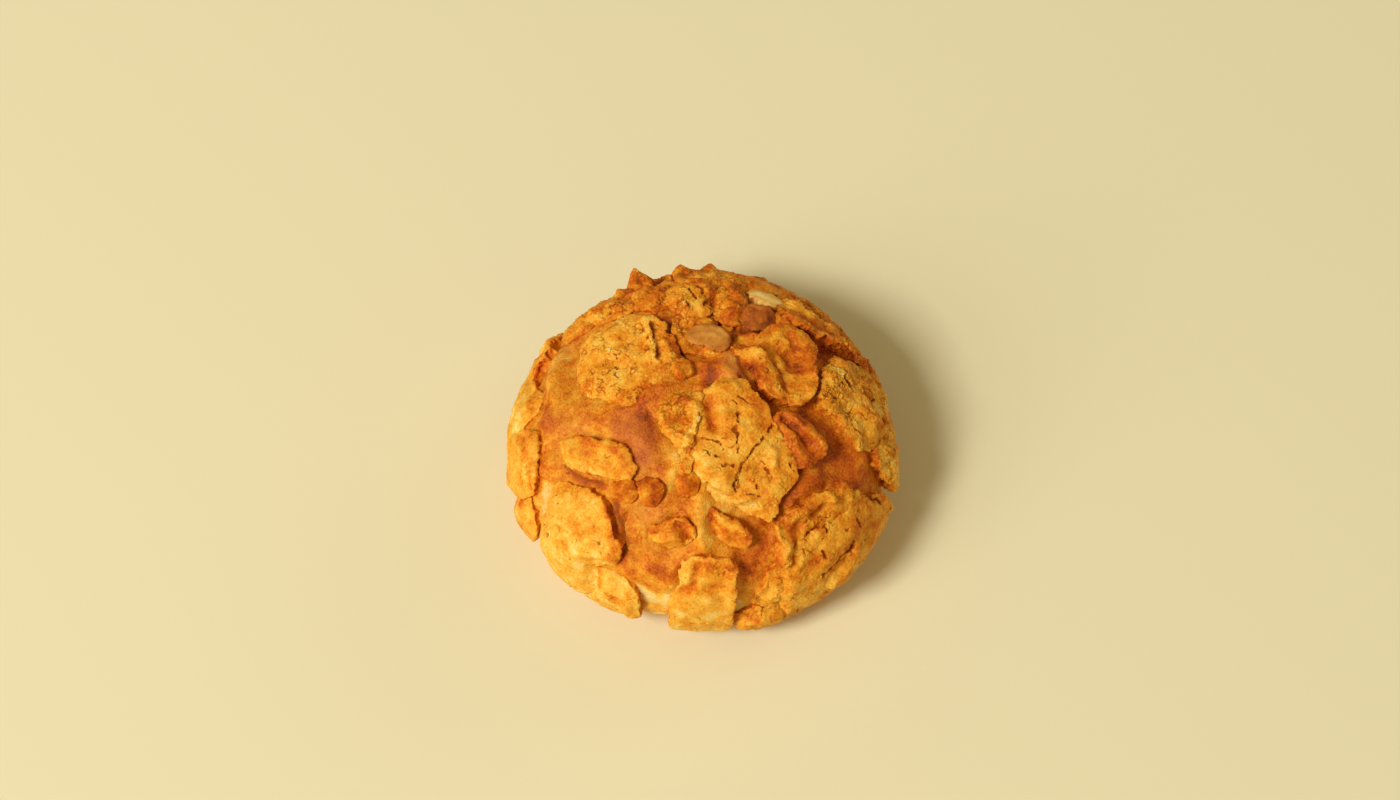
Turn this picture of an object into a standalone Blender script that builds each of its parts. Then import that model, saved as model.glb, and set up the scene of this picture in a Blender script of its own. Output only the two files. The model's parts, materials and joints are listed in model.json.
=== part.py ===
"""Streusel bun: a round bun of soft dough under a crumb crust.

The crust is laid on the raw dough in one sheet. As the dough rises it breaks into plates,
ridges, flakes and nuggets that part from each other and leave the brown skin of the bun in
between. Every one of them is a solid of its own that rests on the dough, a hair clear of it.

Frame: metres, +Z up, origin on the table under the middle of the bun, the front at -Y.
"""

import math
import random
from collections import namedtuple

import bmesh
import bpy
from mathutils import Matrix, Vector, noise

# Baked surfaces: colour, and how matt each is.
SURFACES = {
    "brown_skin": ((0.58, 0.19, 0.035), 0.45),
    "golden_crumb": ((0.76, 0.35, 0.06), 0.85),
    "brown_crumb": ((0.60, 0.23, 0.035), 0.85),
    "almond_skin": ((0.58, 0.25, 0.06), 0.55),
    "cut_nut": ((0.88, 0.58, 0.24), 0.65),
    "toasted_nut": ((0.42, 0.12, 0.02), 0.55),
}
NUTS = {"almond": "almond_skin", "pale_nut": "cut_nut", "dark_nugget": "toasted_nut"}
BROWN_TILT = 50  # the crust bakes browner nearer the crown than this

# Dough: a dome a little out of round, over a lower edge that tucks in to a flat foot.
BUN_RADIUS = 0.0486
BUN_HEIGHT = 0.0485
# each: how many times round, share of the radius, azimuth where it is greatest
SWELLS = ((1, 0.040, -60), (2, 0.010, 7), (3, 0.018, -39))
WAIST_HEIGHT = 0.0160  # level of the widest ring, from which the dough is measured
TUCK_DEPTH = 0.0205  # how deep the tucked half would reach if the foot didn't cut it off
DOME_FULLNESS = 2.2  # 2 is an ellipse, more is fuller in the shoulder
TUCK_FULLNESS = 2.4
BUN_SIDES = 48
BUN_RINGS = 24

# Crust
MM = 0.001
CLEARANCE = 0.0003  # between a piece and the dough or the piece under it
HOLLOW = 0.5  # mm, how far the middle of a piece's underside is drawn up from the round dough
UNDER_SPREAD = 0.85  # spread of the undersides, so that their rings are evenly spaced
LOWEST_EDGE = 0.0030  # level on the dough below which no crust goes
SEARCH_STEPS = 32  # steps out from a piece's middle in which its edge is looked for
LEAST_SHARE = 0.15  # of its reach that a crowded piece keeps
RELIEF_SCALE = 0.0052  # spacing of the swellings on top of a piece

# How each form of crust is shaped. spread and press say how square its cross-section is
# (1 is round, less is flatter with a steeper edge), chips and relief how uneven its edge and
# its top are, and sides and rings how many faces it gets.
Form = namedtuple("Form", "spread press chips relief sides rings")
FORMS = {
    "plate": Form(0.42, 0.38, 0.10, 0.24, 24, 8),
    "shard": Form(0.48, 0.45, 0.10, 0.24, 20, 8),
    "ridge": Form(0.62, 0.60, 0.10, 0.28, 16, 8),
    "nugget": Form(0.75, 0.75, 0.08, 0.18, 12, 6),
    "nut": Form(0.52, 0.50, 0.02, 0.05, 16, 6),
}

# Where each piece lies. azimuth runs anticlockwise from +X, -90 being the front, and tilt is
# the angle from the crown, both in degrees about the middle of the waist. turn is the angle of
# its long axis, from level towards straight down. reach holds how far it goes from its middle,
# in mm, in equal steps round from its long axis, or just half its length and half its width.
# thick is in mm, gap is the crack that it keeps to its neighbours, lift how high it stands on
# another piece, cup how much higher its rim is than its middle, and hang how far its lower end
# stands off the dough.
Piece = namedtuple(
    "Piece", "name form azimuth tilt turn reach thick gap lift cup hang", defaults=(1.0, 0, 0, 0)
)
SEEN_PIECES = [
    # the broken plate on the crown
    Piece("crown_crumbs", "shard", -107, 18, 80, (11.5, 7.5, 6.5, 8, 10, 8, 7.5, 7.5), 4.8, 0.5),
    Piece("crown_plate", "plate", -58, 24, -41, (14, 10.5, 8, 10, 14, 9, 9, 11), 5.0, 0.5),
    Piece("crown_fold", "plate", -56, 44, 2, (15, 11, 7, 7, 17, 10, 7.5, 7), 4.6, 0.5),
    Piece("fold_flake", "ridge", -27, 43, -80, (6, 4, 3.2, 4, 7, 4, 3.6, 4.5), 5.0, 0.5),
    # left side, from the back to the front
    Piece("shoulder_plate", "plate", 153, 42, -85, (18, 17, 17, 16, 17, 18, 17, 17), 3.6, 0.8),
    Piece("shoulder_lobe", "nugget", 138, 12, 34, (4.6, 3.6), 4.2, 0.4),
    Piece("shoulder_ridge", "ridge", 134, 65, 20, (16, 8, 6, 8, 16, 8, 5.5, 6), 4.0, 0.6),
    Piece("neck_crumb", "nugget", 111, 53, 86, (6, 5, 4.5, 5, 6, 5, 4.5, 5), 4.2, 0.6),
    Piece("back_spike", "nugget", 110, 69, -76, (5.5, 3), 6.4, 0.6),
    Piece("left_band", "shard", 167, 73, -18, (16, 10, 9, 10, 18, 10, 9, 11.5), 4.6, 0.8),
    Piece("left_edge", "shard", -168, 76, 73, (9, 8.5, 8, 8.5, 10, 8, 9, 7.5), 3.8, 0.8),
    Piece("left_heel", "nugget", -155, 85, -80, (8, 7, 7, 7, 8, 7, 7, 7), 3.4, 0.8),
    Piece("left_oval", "shard", -149, 51, -41, (12, 7.5, 6, 7.5, 12, 7.5, 6, 7.5), 3.8),
    Piece("lower_plate", "plate", -135, 72, -49, (16, 15, 18, 15, 17, 17, 15, 16), 3.8, 0.8),
    Piece("lower_chip", "shard", -116, 88, 0, (9, 8, 7, 7, 8, 7, 7, 8), 3.8, 0.8, 0, 0, 1.2),
    Piece("lower_strip", "ridge", -116, 62, 61, (8, 3), 2.8, 0.6),
    Piece("left_nugget", "nugget", -127, 50, -30, (3.8, 3), 3.2, 0.6),
    Piece("front_nugget", "nugget", -116, 48, -28, (5.2, 4.2), 4.6, 0.6),
    Piece("front_nub", "nugget", -98, 42, 0, (3.6, 3.4), 3.0, 0.6),
    # front
    Piece("front_flake", "shard", -102, 60, -30, (8, 5, 3.6, 5, 7.5, 5, 4.2, 4.8), 3.2, 0.8),
    Piece("front_wedge", "shard", -79, 56, 47, (7.2, 3, 2.6, 3, 7, 5.5, 3.8, 4), 3.8, 0.8),
    Piece("front_apron", "plate", -88, 81, -79, (14, 10, 8, 11, 13, 10, 8, 10.5), 4.2, 0.8, 0, 0, 1.6),
    Piece("heel_crumb", "nugget", -66, 77, 0, (4.4, 4), 3.2, 0.6),
    Piece("heel_chip", "nugget", -71, 97, 0, (7, 5), 4.0, 0.6, 0, 0, 1.6),
    # right side, from the front to the back
    Piece("right_plate", "plate", -45, 83, -2, (20, 18, 17, 17, 19, 17, 12, 15), 5.0, 0.7, 0, 0, 1.6),
    Piece("right_rim", "ridge", -50, 64, -15, (11, 6, 4.5, 6, 12, 4.5, 4, 10), 4.4, 0.5),
    Piece("right_crust", "plate", 5, 66, 72, (15, 11.5, 9.5, 13, 16, 12, 11, 12), 4.8, 0.8),
    Piece("right_heel", "shard", -9, 81, 54, (9, 7, 6, 7, 10, 7, 6, 8), 4.6, 0.8),
    Piece("saddle_slope", "ridge", 17, 27, -14, (10, 7, 4.6, 5, 11, 3.2, 3.2, 6.5), 4.4, 0.8),
    Piece("saddle_cup", "shard", 19, 39, 11, (11.5, 8, 6.5, 7.5, 11.5, 7.5, 7, 8), 5.0, 0.8, 0, 1.6),
    Piece("back_right_ridge", "ridge", 37, 67, -30, (14, 12, 9, 10, 15, 9, 9, 13), 5.4, 0.8),
    # the cluster behind the crown
    Piece("back_plate", "plate", 79, 66, -3, (15, 11, 6.5, 7.5, 17, 10, 8, 11), 4.6, 0.8),
    Piece("curled_crumb", "nugget", 93, 44, 88, (8.5, 7, 6.5, 7, 8.5, 7, 5.5, 7), 5.6, 0.6),
    Piece("orange_crumb", "nugget", 74, 47, -17, (6, 5), 4.8, 0.6),
    Piece("pale_nut", "nut", 61, 55, -11, (5.4, 2.6), 3.4, 0.5),
    Piece("dark_nugget", "nugget", 58, 44, 0, (4.6, 4.4), 4.8, 0.5),
    Piece("side_crumb", "nugget", 47, 51, 45, (5.4, 3.2), 3.8, 0.5),
    Piece("almond_bed", "shard", 84, 27, -18, (9, 7.5, 7, 8, 10, 8, 7, 7), 2.6, 0.6),
    Piece("almond", "nut", 81, 26, -18, (7.8, 5.4), 2.2, 0.5, 3.0),
]

# The far side is broken up in the same way, in one row of plates with chips at their foot.
BACK_PLATES = 7
BACK_FIRST = 16  # azimuth
BACK_STEP = 22
BACK_TILT = 87
CHIP_TILT = 103


def back_pieces():
    """The pieces of the far side, each a little out of line and of its own size."""
    chance = random.Random("far side")
    pieces = []
    for number in range(BACK_PLATES):
        azimuth = BACK_FIRST + number * BACK_STEP
        form = "shard" if number % 2 else "plate"
        reach = [chance.uniform(9.5, 13) for _ in range(8)]
        tilt = BACK_TILT + chance.uniform(-2, 4)
        turn = chance.uniform(-40, 40)
        pieces.append(Piece(f"back_shard_{number + 1}", form, azimuth, tilt, turn, reach, 4.2))
    for number in range(BACK_PLATES - 1):
        azimuth = BACK_FIRST + (number + 0.5) * BACK_STEP + chance.uniform(-2, 2)
        reach = (chance.uniform(5, 6.5), chance.uniform(3.4, 4.4))
        pieces.append(Piece(f"back_chip_{number + 1}", "nugget", azimuth, CHIP_TILT, 0, reach, 3.4))
    return pieces


WAIST_MIDDLE = Vector((0, 0, WAIST_HEIGHT))


def direction(azimuth, tilt):
    """Which way a place on the dough lies from the middle of the waist."""
    around, down = math.radians(azimuth), math.radians(tilt)
    return Vector((math.sin(down) * math.cos(around), math.sin(down) * math.sin(around), math.cos(down)))


def dough_reach(way):
    """How far the dough's skin is from the middle of the waist, along a unit vector."""
    flat = math.hypot(way.x, way.y)
    around = math.atan2(way.y, way.x)
    swell = sum(size * math.cos(count * (around - math.radians(peak))) for count, size, peak in SWELLS)
    radius = BUN_RADIUS * (1 + swell * flat)
    if way.z >= 0:
        height, fullness = BUN_HEIGHT - WAIST_HEIGHT, DOME_FULLNESS
    else:
        height, fullness = TUCK_DEPTH, TUCK_FULLNESS
    reach = ((flat / radius) ** fullness + (abs(way.z) / height) ** fullness) ** (-1 / fullness)
    if way.z < 0:
        reach = min(reach, WAIST_HEIGHT / max(-way.z, 1e-6))
    return reach


def on_dough(way, height=0.0):
    """The point that far off the skin, straight out from the middle of the waist."""
    way = way.normalized()
    return WAIST_MIDDLE + way * (dough_reach(way) + height)


class Patch:
    """A piece's place: its middle on the skin, and the directions of its length and width."""

    def __init__(self, piece):
        self.piece = piece
        reach = [far * MM for far in piece.reach]
        self.reach = reach * 2 if len(reach) == 2 else reach
        self.mean_reach = sum(self.reach) / len(self.reach)
        self.out = direction(piece.azimuth, piece.tilt)
        self.middle = on_dough(self.out)
        level = Vector((-self.out.y, self.out.x, 0)).normalized()
        straight_down = self.out.cross(level)
        if straight_down.z > 0:
            straight_down.negate()
        turn = math.radians(piece.turn)
        self.along = level * math.cos(turn) + straight_down * math.sin(turn)
        self.across = self.out.cross(self.along)

    def reach_at(self, angle):
        """How far the piece goes in one direction, eased from one given reach to the next."""
        place = (angle % math.tau) / math.tau * len(self.reach)
        first = int(place) % len(self.reach)
        second = (first + 1) % len(self.reach)
        ease = (1 - math.cos((place - int(place)) * math.pi)) / 2
        return self.reach[first] * (1 - ease) + self.reach[second] * ease

    def way_to(self, angle, share):
        """The direction of a point in the piece, share being 0 at its middle and 1 at its edge."""
        far = self.reach_at(angle) * share
        across = self.across * (math.sin(angle) * far)
        place = self.middle + self.along * (math.cos(angle) * far) + across
        return (place - WAIST_MIDDLE).normalized()

    def depth_of(self, point):
        """How far inside the piece's edge a point on the skin is, and less than 0 outside."""
        offset = point - self.middle
        along, across = offset.dot(self.along), offset.dot(self.across)
        far = self.reach_at(math.atan2(across, along))
        if offset.length > 2 * far:
            return -far
        return (1 - math.hypot(along, across) / far) * self.mean_reach


def edge_shares(patch, neighbours, sides):
    """The share of its reach that a piece gets in each direction.

    A piece stops above the table, and where a neighbour lies deeper than itself, less the crack
    between the two, so that broken edges face each other. Chips make its edge uneven."""
    chance = random.Random(patch.piece.name)
    crack = patch.piece.gap * MM
    shares = []
    for side in range(sides):
        angle = math.tau * side / sides
        share = 1.0
        for step in range(1, SEARCH_STEPS + 1):
            point = on_dough(patch.way_to(angle, step / SEARCH_STEPS))
            own = patch.depth_of(point) - crack
            depths = [other.depth_of(point) for other in neighbours]
            if point.z < LOWEST_EDGE or any(depth > max(own, -crack) for depth in depths):
                share = (step - 1) / SEARCH_STEPS
                break
        chip = 1 - FORMS[patch.piece.form].chips * chance.random()
        shares.append(max(share, LEAST_SHARE) * chip)
    return shares


def surface_of(piece):
    """The name of a piece's surface."""
    crumb = "brown_crumb" if piece.tilt < BROWN_TILT else "golden_crumb"
    return NUTS.get(piece.name, crumb)


def material(name):
    """The material of one of the baked surfaces."""
    colour, roughness = SURFACES[name]
    made = bpy.data.materials.new(name)
    made.use_nodes = True
    shader = made.node_tree.nodes["Principled BSDF"]
    shader.inputs["Base Color"].default_value = (*colour, 1)
    shader.inputs["Roughness"].default_value = roughness
    shader.inputs["Metallic"].default_value = 0
    return made


def finish(name, mesh, surface, collection):
    """Makes an object of a bmesh, shaded smooth, and puts it in the collection."""
    data = bpy.data.meshes.new(name)
    mesh.to_mesh(data)
    mesh.free()
    data.shade_smooth()
    data.materials.append(surface)
    made = bpy.data.objects.new(name, data)
    collection.objects.link(made)
    return made


def bun(surface, collection):
    """The dough: a ball drawn out to the dome, its tucked edge and its flat foot."""
    mesh = bmesh.new()
    bmesh.ops.create_uvsphere(mesh, u_segments=BUN_SIDES, v_segments=BUN_RINGS, radius=1)
    for vert in mesh.verts:
        vert.co = on_dough(vert.co)
    foot = [face for face in mesh.faces if all(vert.co.z < 1e-6 for vert in face.verts)]
    bmesh.ops.dissolve_faces(mesh, faces=foot)
    return finish("bun", mesh, surface, collection)


def crust_piece(patch, neighbours, surface, collection):
    """A ball pressed into the piece's outline and laid on the dough."""
    piece = patch.piece
    form = FORMS[piece.form]
    shares = edge_shares(patch, neighbours, form.sides)
    mesh = bmesh.new()
    bmesh.ops.create_uvsphere(mesh, u_segments=form.sides, v_segments=form.rings, radius=1)
    for vert in mesh.verts:
        ring = math.hypot(vert.co.x, vert.co.y)
        angle = math.atan2(vert.co.y, vert.co.x) % math.tau
        side = round(angle / math.tau * form.sides) % form.sides
        under = vert.co.z < -1e-6
        out = ring ** (UNDER_SPREAD if under else form.spread)
        way = patch.way_to(angle, shares[side] * out)
        level = math.copysign(abs(vert.co.z) ** form.press, vert.co.z)
        place = on_dough(way)
        swelling = 1 + form.relief * noise.noise(place / RELIEF_SCALE) * max(level, 0)
        lower = max(patch.middle.z - place.z, 0) / patch.mean_reach
        stand_off = piece.lift + piece.cup * out**3 + piece.hang * lower**2
        if under:
            stand_off += HOLLOW * (1 - out**2)
        height = piece.thick * (1 + level * swelling) / 2
        vert.co = on_dough(way, CLEARANCE + (stand_off + height) * MM)
    return finish(piece.name, mesh, surface, collection)


def centre_on_origin(objects):
    """Slides everything so that the origin is under the middle of the whole bun."""
    corners = [vert.co for made in objects for vert in made.data.vertices]
    middle_x = (min(co.x for co in corners) + max(co.x for co in corners)) / 2
    middle_y = (min(co.y for co in corners) + max(co.y for co in corners)) / 2
    for made in objects:
        made.data.transform(Matrix.Translation((-middle_x, -middle_y, 0)))


def neighbours_of(patch, patches):
    """The pieces on the same level that a piece could touch."""
    return [
        other
        for other in patches
        if other is not patch
        and other.piece.lift == patch.piece.lift
        and (other.middle - patch.middle).length < max(other.reach) + max(patch.reach)
    ]


def main():
    for old in list(bpy.data.objects):
        bpy.data.objects.remove(old)
    collection = bpy.data.collections.new("streusel_bun")
    bpy.context.scene.collection.children.link(collection)
    surfaces = {name: material(name) for name in SURFACES}
    bun(surfaces["brown_skin"], collection)
    patches = [Patch(piece) for piece in SEEN_PIECES + back_pieces()]
    for patch in patches:
        surface = surfaces[surface_of(patch.piece)]
        crust_piece(patch, neighbours_of(patch, patches), surface, collection)
    centre_on_origin(collection.objects)


main()
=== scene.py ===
"""Streusel bun: the baked looks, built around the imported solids.

The larger pieces of crust are cut from flat sheets along outlines of their own and laid on the
dough where their solids are. The small ones and the bun start from a copy of their solid. All get
small even faces and are sculpted: first the broken outline and the larger swells, then the crumb,
its pits and its cracks. Sculpting is done in mm from the middle of the bun's waist, and places on
the dough are given as (azimuth, tilt) in degrees. Azimuth runs anticlockwise from +X, -90 being
the front, and tilt is the angle from the crown.
"""

import json
import math
import random
from collections import namedtuple

import bmesh
import bpy
import numpy as np
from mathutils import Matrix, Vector, noise
from mathutils.bvhtree import BVHTree

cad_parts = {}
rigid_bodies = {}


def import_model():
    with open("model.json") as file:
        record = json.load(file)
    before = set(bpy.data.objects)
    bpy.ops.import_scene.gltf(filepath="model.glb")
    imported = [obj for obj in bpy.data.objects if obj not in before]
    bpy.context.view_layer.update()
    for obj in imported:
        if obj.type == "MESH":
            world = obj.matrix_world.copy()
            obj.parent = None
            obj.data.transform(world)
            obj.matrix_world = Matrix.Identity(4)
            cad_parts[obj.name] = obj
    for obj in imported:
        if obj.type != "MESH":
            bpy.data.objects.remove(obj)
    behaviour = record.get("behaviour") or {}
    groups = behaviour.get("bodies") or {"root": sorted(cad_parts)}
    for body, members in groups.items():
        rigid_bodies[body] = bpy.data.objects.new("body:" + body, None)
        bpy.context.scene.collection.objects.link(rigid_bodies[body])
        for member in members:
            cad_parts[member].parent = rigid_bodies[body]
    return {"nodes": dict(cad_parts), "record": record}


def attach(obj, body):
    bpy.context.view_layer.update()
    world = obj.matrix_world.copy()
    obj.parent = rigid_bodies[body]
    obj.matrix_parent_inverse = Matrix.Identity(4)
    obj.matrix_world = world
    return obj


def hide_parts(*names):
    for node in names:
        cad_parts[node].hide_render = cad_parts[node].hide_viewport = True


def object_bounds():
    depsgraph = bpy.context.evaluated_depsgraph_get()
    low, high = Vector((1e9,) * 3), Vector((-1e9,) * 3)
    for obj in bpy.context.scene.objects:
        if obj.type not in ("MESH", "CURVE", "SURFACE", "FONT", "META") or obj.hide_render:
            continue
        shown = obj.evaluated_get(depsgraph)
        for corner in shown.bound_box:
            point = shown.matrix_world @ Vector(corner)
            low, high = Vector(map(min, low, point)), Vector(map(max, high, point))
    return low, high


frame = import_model()
cad_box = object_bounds()

MM = 0.001

# Dough, in mm: the same dome, tucked edge and flat foot as the solid
BUN_RADIUS = 48.6
BUN_HEIGHT = 48.5
SWELLS = ((1, 0.040, -60), (2, 0.010, 7), (3, 0.018, -39))
WAIST_HEIGHT = 16.0
TUCK_DEPTH = 20.5
DOME_FULLNESS = 2.2
TUCK_FULLNESS = 2.4

# Mesh, in mm
ROUGH_GRAIN = 0.55  # faces while the outline and the swells are shaped
FINE_GRAIN = 0.27  # faces of a finished piece that was cut from a sheet
PLAIN_GRAIN = 0.42  # and of one that starts from its solid
SKIN_GRAIN = 0.54  # and of the bun

# Broken crust, in mm unless a share is meant
SINK = 1.2  # that the undersides go into the skin, so that no gap shows
SLAB = 3.0  # thickness of a piece while it is still flat
RIM_WIDTH = 3.0  # from a high rim to where a piece is as thick as in its middle
LOW_RIM_WIDTH = 1.5  # share that is added to this width where the rim is low
LEAN = 0.22  # how far broken edges lean out over the dough, as a share of their height
CRACK_EDGE = 0.3  # how near a crack's line its opening starts, as a share of the stroke's width
CRACK_DEPTH = 0.7  # share of a stroke's amount that a crack is deep

# Sizes of the patterns on the crust, in mm
CHIP = 2.8  # chips that are missing along an outline
LUMP = 4.6
SMALL_LUMP = 2.4
CRUMB = 1.9
GRANULE = 0.8
SPLIT = 2.6  # the blocks that fine splits part
PATCH = 5.0  # patches that are rougher than the rest
SEED_STEP = 3.7  # from one piece's patterns to the next one's
DRIFT_SEED = 1795411593  # so that drift gives the same result in every run

# The dough's skin, in mm
PUFF = 1.2  # that it swells up close to the crust
OPEN_PUFF = 1.5  # and that is added where the crust is far away
SKIN_SEED = 77.0  # the patterns where the skin itself is crumbly
FOOT_LEVEL = 0.02  # up to which a face belongs to the flat foot

# Browning, where 0 is pale and 1 dark brown
SKIN_TOAST = 0.44
OPEN_TOAST = 0.14  # added on skin that is well away from the crust
FOOT_TOAST = 0.35  # added where the skin meets the foot
UNDER_PALE = 0.3  # taken off below the waist, where the side turns under
EDGE_TOAST = 0.16  # added on the broken edges of a piece of crust
# low places in the crumb get browner and high ones paler: browning, painted shade and painted highlight
HOLLOW_BROWN_AND_SHADE = 0.3  # added for each mm that a place lies low in the crumb
LOOSE_TOAST = 0.45  # of the loose crumbs
PALEST = 0.14  # the least that a piece of crust is browned

# Loose crumbs
CRUMBS = 60
CRUMB_SIZES = (0.3, 0.6)  # radius in mm
CRUMBS_ABOVE = 0.016  # height in metres
CRUMB_SLOPES = (0.25, 0.8)  # how far up the surface faces where they lie, 1 being flat

crown = max((vert.co for vert in frame["nodes"]["bun"].data.vertices), key=lambda co: co.z)
WAIST = np.array((crown.x / MM, crown.y / MM, WAIST_HEIGHT))
WAIST_MIDDLE = Vector(WAIST) * MM


# ---------------------------------------------------------------- places on the dough


def reach_of(ways):
    """How far the dough's skin is from the middle of the waist, in mm, along unit vectors."""
    flat = np.hypot(ways[:, 0], ways[:, 1])
    around = np.arctan2(ways[:, 1], ways[:, 0])
    up = ways[:, 2] >= 0
    swell = sum(size * np.cos(count * (around - math.radians(peak))) for count, size, peak in SWELLS)
    radius = BUN_RADIUS * (1 + swell * flat)
    height = np.where(up, BUN_HEIGHT - WAIST_HEIGHT, TUCK_DEPTH)
    fullness = np.where(up, DOME_FULLNESS, TUCK_FULLNESS)
    reach = ((flat / radius) ** fullness + (np.abs(ways[:, 2]) / height) ** fullness) ** (-1 / fullness)
    foot = WAIST_HEIGHT / np.maximum(-ways[:, 2], 1e-6)
    return np.where(up, reach, np.minimum(reach, foot))


def on_dough(points):
    """For points near the dough: how far they are out, the unit vectors to them, how far out
    the skin is there, and the places on the skin."""
    reach = np.linalg.norm(points, axis=1)
    ways = points / reach[:, None]
    skin = reach_of(ways)
    return reach, ways, skin, ways * skin[:, None]


def tilt_of(ways):
    """The angle of unit vectors from the crown, in degrees."""
    return np.degrees(np.arccos(np.clip(ways[:, 2], -1, 1)))


def places(path):
    """The points of a line of (azimuth, tilt) places on the dough, in mm from the waist."""
    azimuth, tilt = np.radians(np.array(path, float).reshape(-1, 2)).T
    ways = np.stack((np.sin(tilt) * np.cos(azimuth), np.sin(tilt) * np.sin(azimuth), np.cos(tilt)), 1)
    return ways * reach_of(ways)[:, None]


def distance_to(ground, path):
    """How far each point on the dough is from a line of places, in mm."""
    line = places(path)
    nearest = np.linalg.norm(ground - line[0], axis=1)
    for start, end in zip(line, line[1:]):
        run = end - start
        along = np.clip((ground - start) @ run / (run @ run), 0, 1)
        nearest = np.minimum(nearest, np.linalg.norm(ground - start - along[:, None] * run, axis=1))
    return nearest


def ease(values, low, high):
    """0 below low, 1 above high, and a smooth step between."""
    share = np.clip((values - low) / (high - low), 0, 1)
    return share * share * (3 - 2 * share)


# ---------------------------------------------------------------- patterns

noise.seed_set(DRIFT_SEED)


def wave(points, size, shift=0.0):
    """Smooth random values from about -1 to 1, in lumps of that size in mm."""
    rows = (points / size + shift).tolist()
    return np.array([noise.noise(row) for row in rows]) * 1.4


def drift(points, size, far, shift=0.0):
    """The points moved about at random, in lumps of that size, by up to about that far."""
    rows = (points / size + shift).tolist()
    return points + far * np.array([noise.noise_vector(row) for row in rows])


def cells(points, size, shift=0.0):
    """Scattered grains of that size: how far each point is from the nearest middle and from the
    second nearest, in grain sizes, and a random value of the grain that it is in."""
    rows = (points / size + shift).tolist()
    found = [noise.voronoi(row) for row in rows]
    near = np.array([away[:2] for away, _ in found])
    value = np.array([noise.noise(middles[0] * 5.3) for _, middles in found])
    return near[:, 0], near[:, 1], value * 1.8


# ---------------------------------------------------------------- meshes


def vectors(items, field):
    """A vector that every vertex of a mesh has, as rows."""
    values = np.empty(len(items) * 3, np.float32)
    items.foreach_get(field, values)
    return values.reshape(-1, 3).astype(float)


def points_of(data):
    """A mesh's points, in mm from the middle of the waist."""
    return vectors(data.vertices, "co") / MM - WAIST


def normals_of(data):
    return vectors(data.vertex_normals, "vector")


def set_points(data, points):
    """Puts a mesh's points back in metres, none of them outside the solids' box."""
    low, high = (np.array(corner) for corner in cad_box)
    values = np.clip((points + WAIST) * MM, low, high)
    data.vertices.foreach_set("co", values.astype(np.float32).ravel())
    data.update()


def mesh_from(shape, name):
    """Turns a bmesh into a mesh."""
    data = bpy.data.meshes.new(name)
    shape.to_mesh(data)
    shape.free()
    return data


def refined(data, grain, rounds=0):
    """The mesh in even faces of that size in mm, after some rounds of subdivision."""
    worked = bpy.data.objects.new("worked", data)
    bpy.context.scene.collection.objects.link(worked)
    if rounds:
        smooth = worked.modifiers.new("smooth", "SUBSURF")
        smooth.levels = smooth.render_levels = rounds
    even = worked.modifiers.new("even", "REMESH")
    even.mode = "VOXEL"
    even.voxel_size = grain * MM
    depsgraph = bpy.context.evaluated_depsgraph_get()
    made = bpy.data.meshes.new_from_object(worked.evaluated_get(depsgraph), depsgraph=depsgraph)
    bpy.data.objects.remove(worked)
    bpy.data.meshes.remove(data)
    return made


def merged_copy(node):
    """A copy of a solid's mesh whose loose triangles are joined."""
    shape = bmesh.new()
    shape.from_mesh(frame["nodes"][node].data)
    bmesh.ops.remove_doubles(shape, verts=shape.verts, dist=1e-6)
    return mesh_from(shape, node)


def keep_values(data, **values):
    """Stores a number for every point, for the material to read."""
    for name, numbers in values.items():
        stored = data.attributes.new(name, "FLOAT", "POINT")
        stored.data.foreach_set("value", np.asarray(numbers, np.float32))


# ---------------------------------------------------------------- what each piece is like

NUTS = ("almond", "pale_nut", "dark_nugget")

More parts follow.
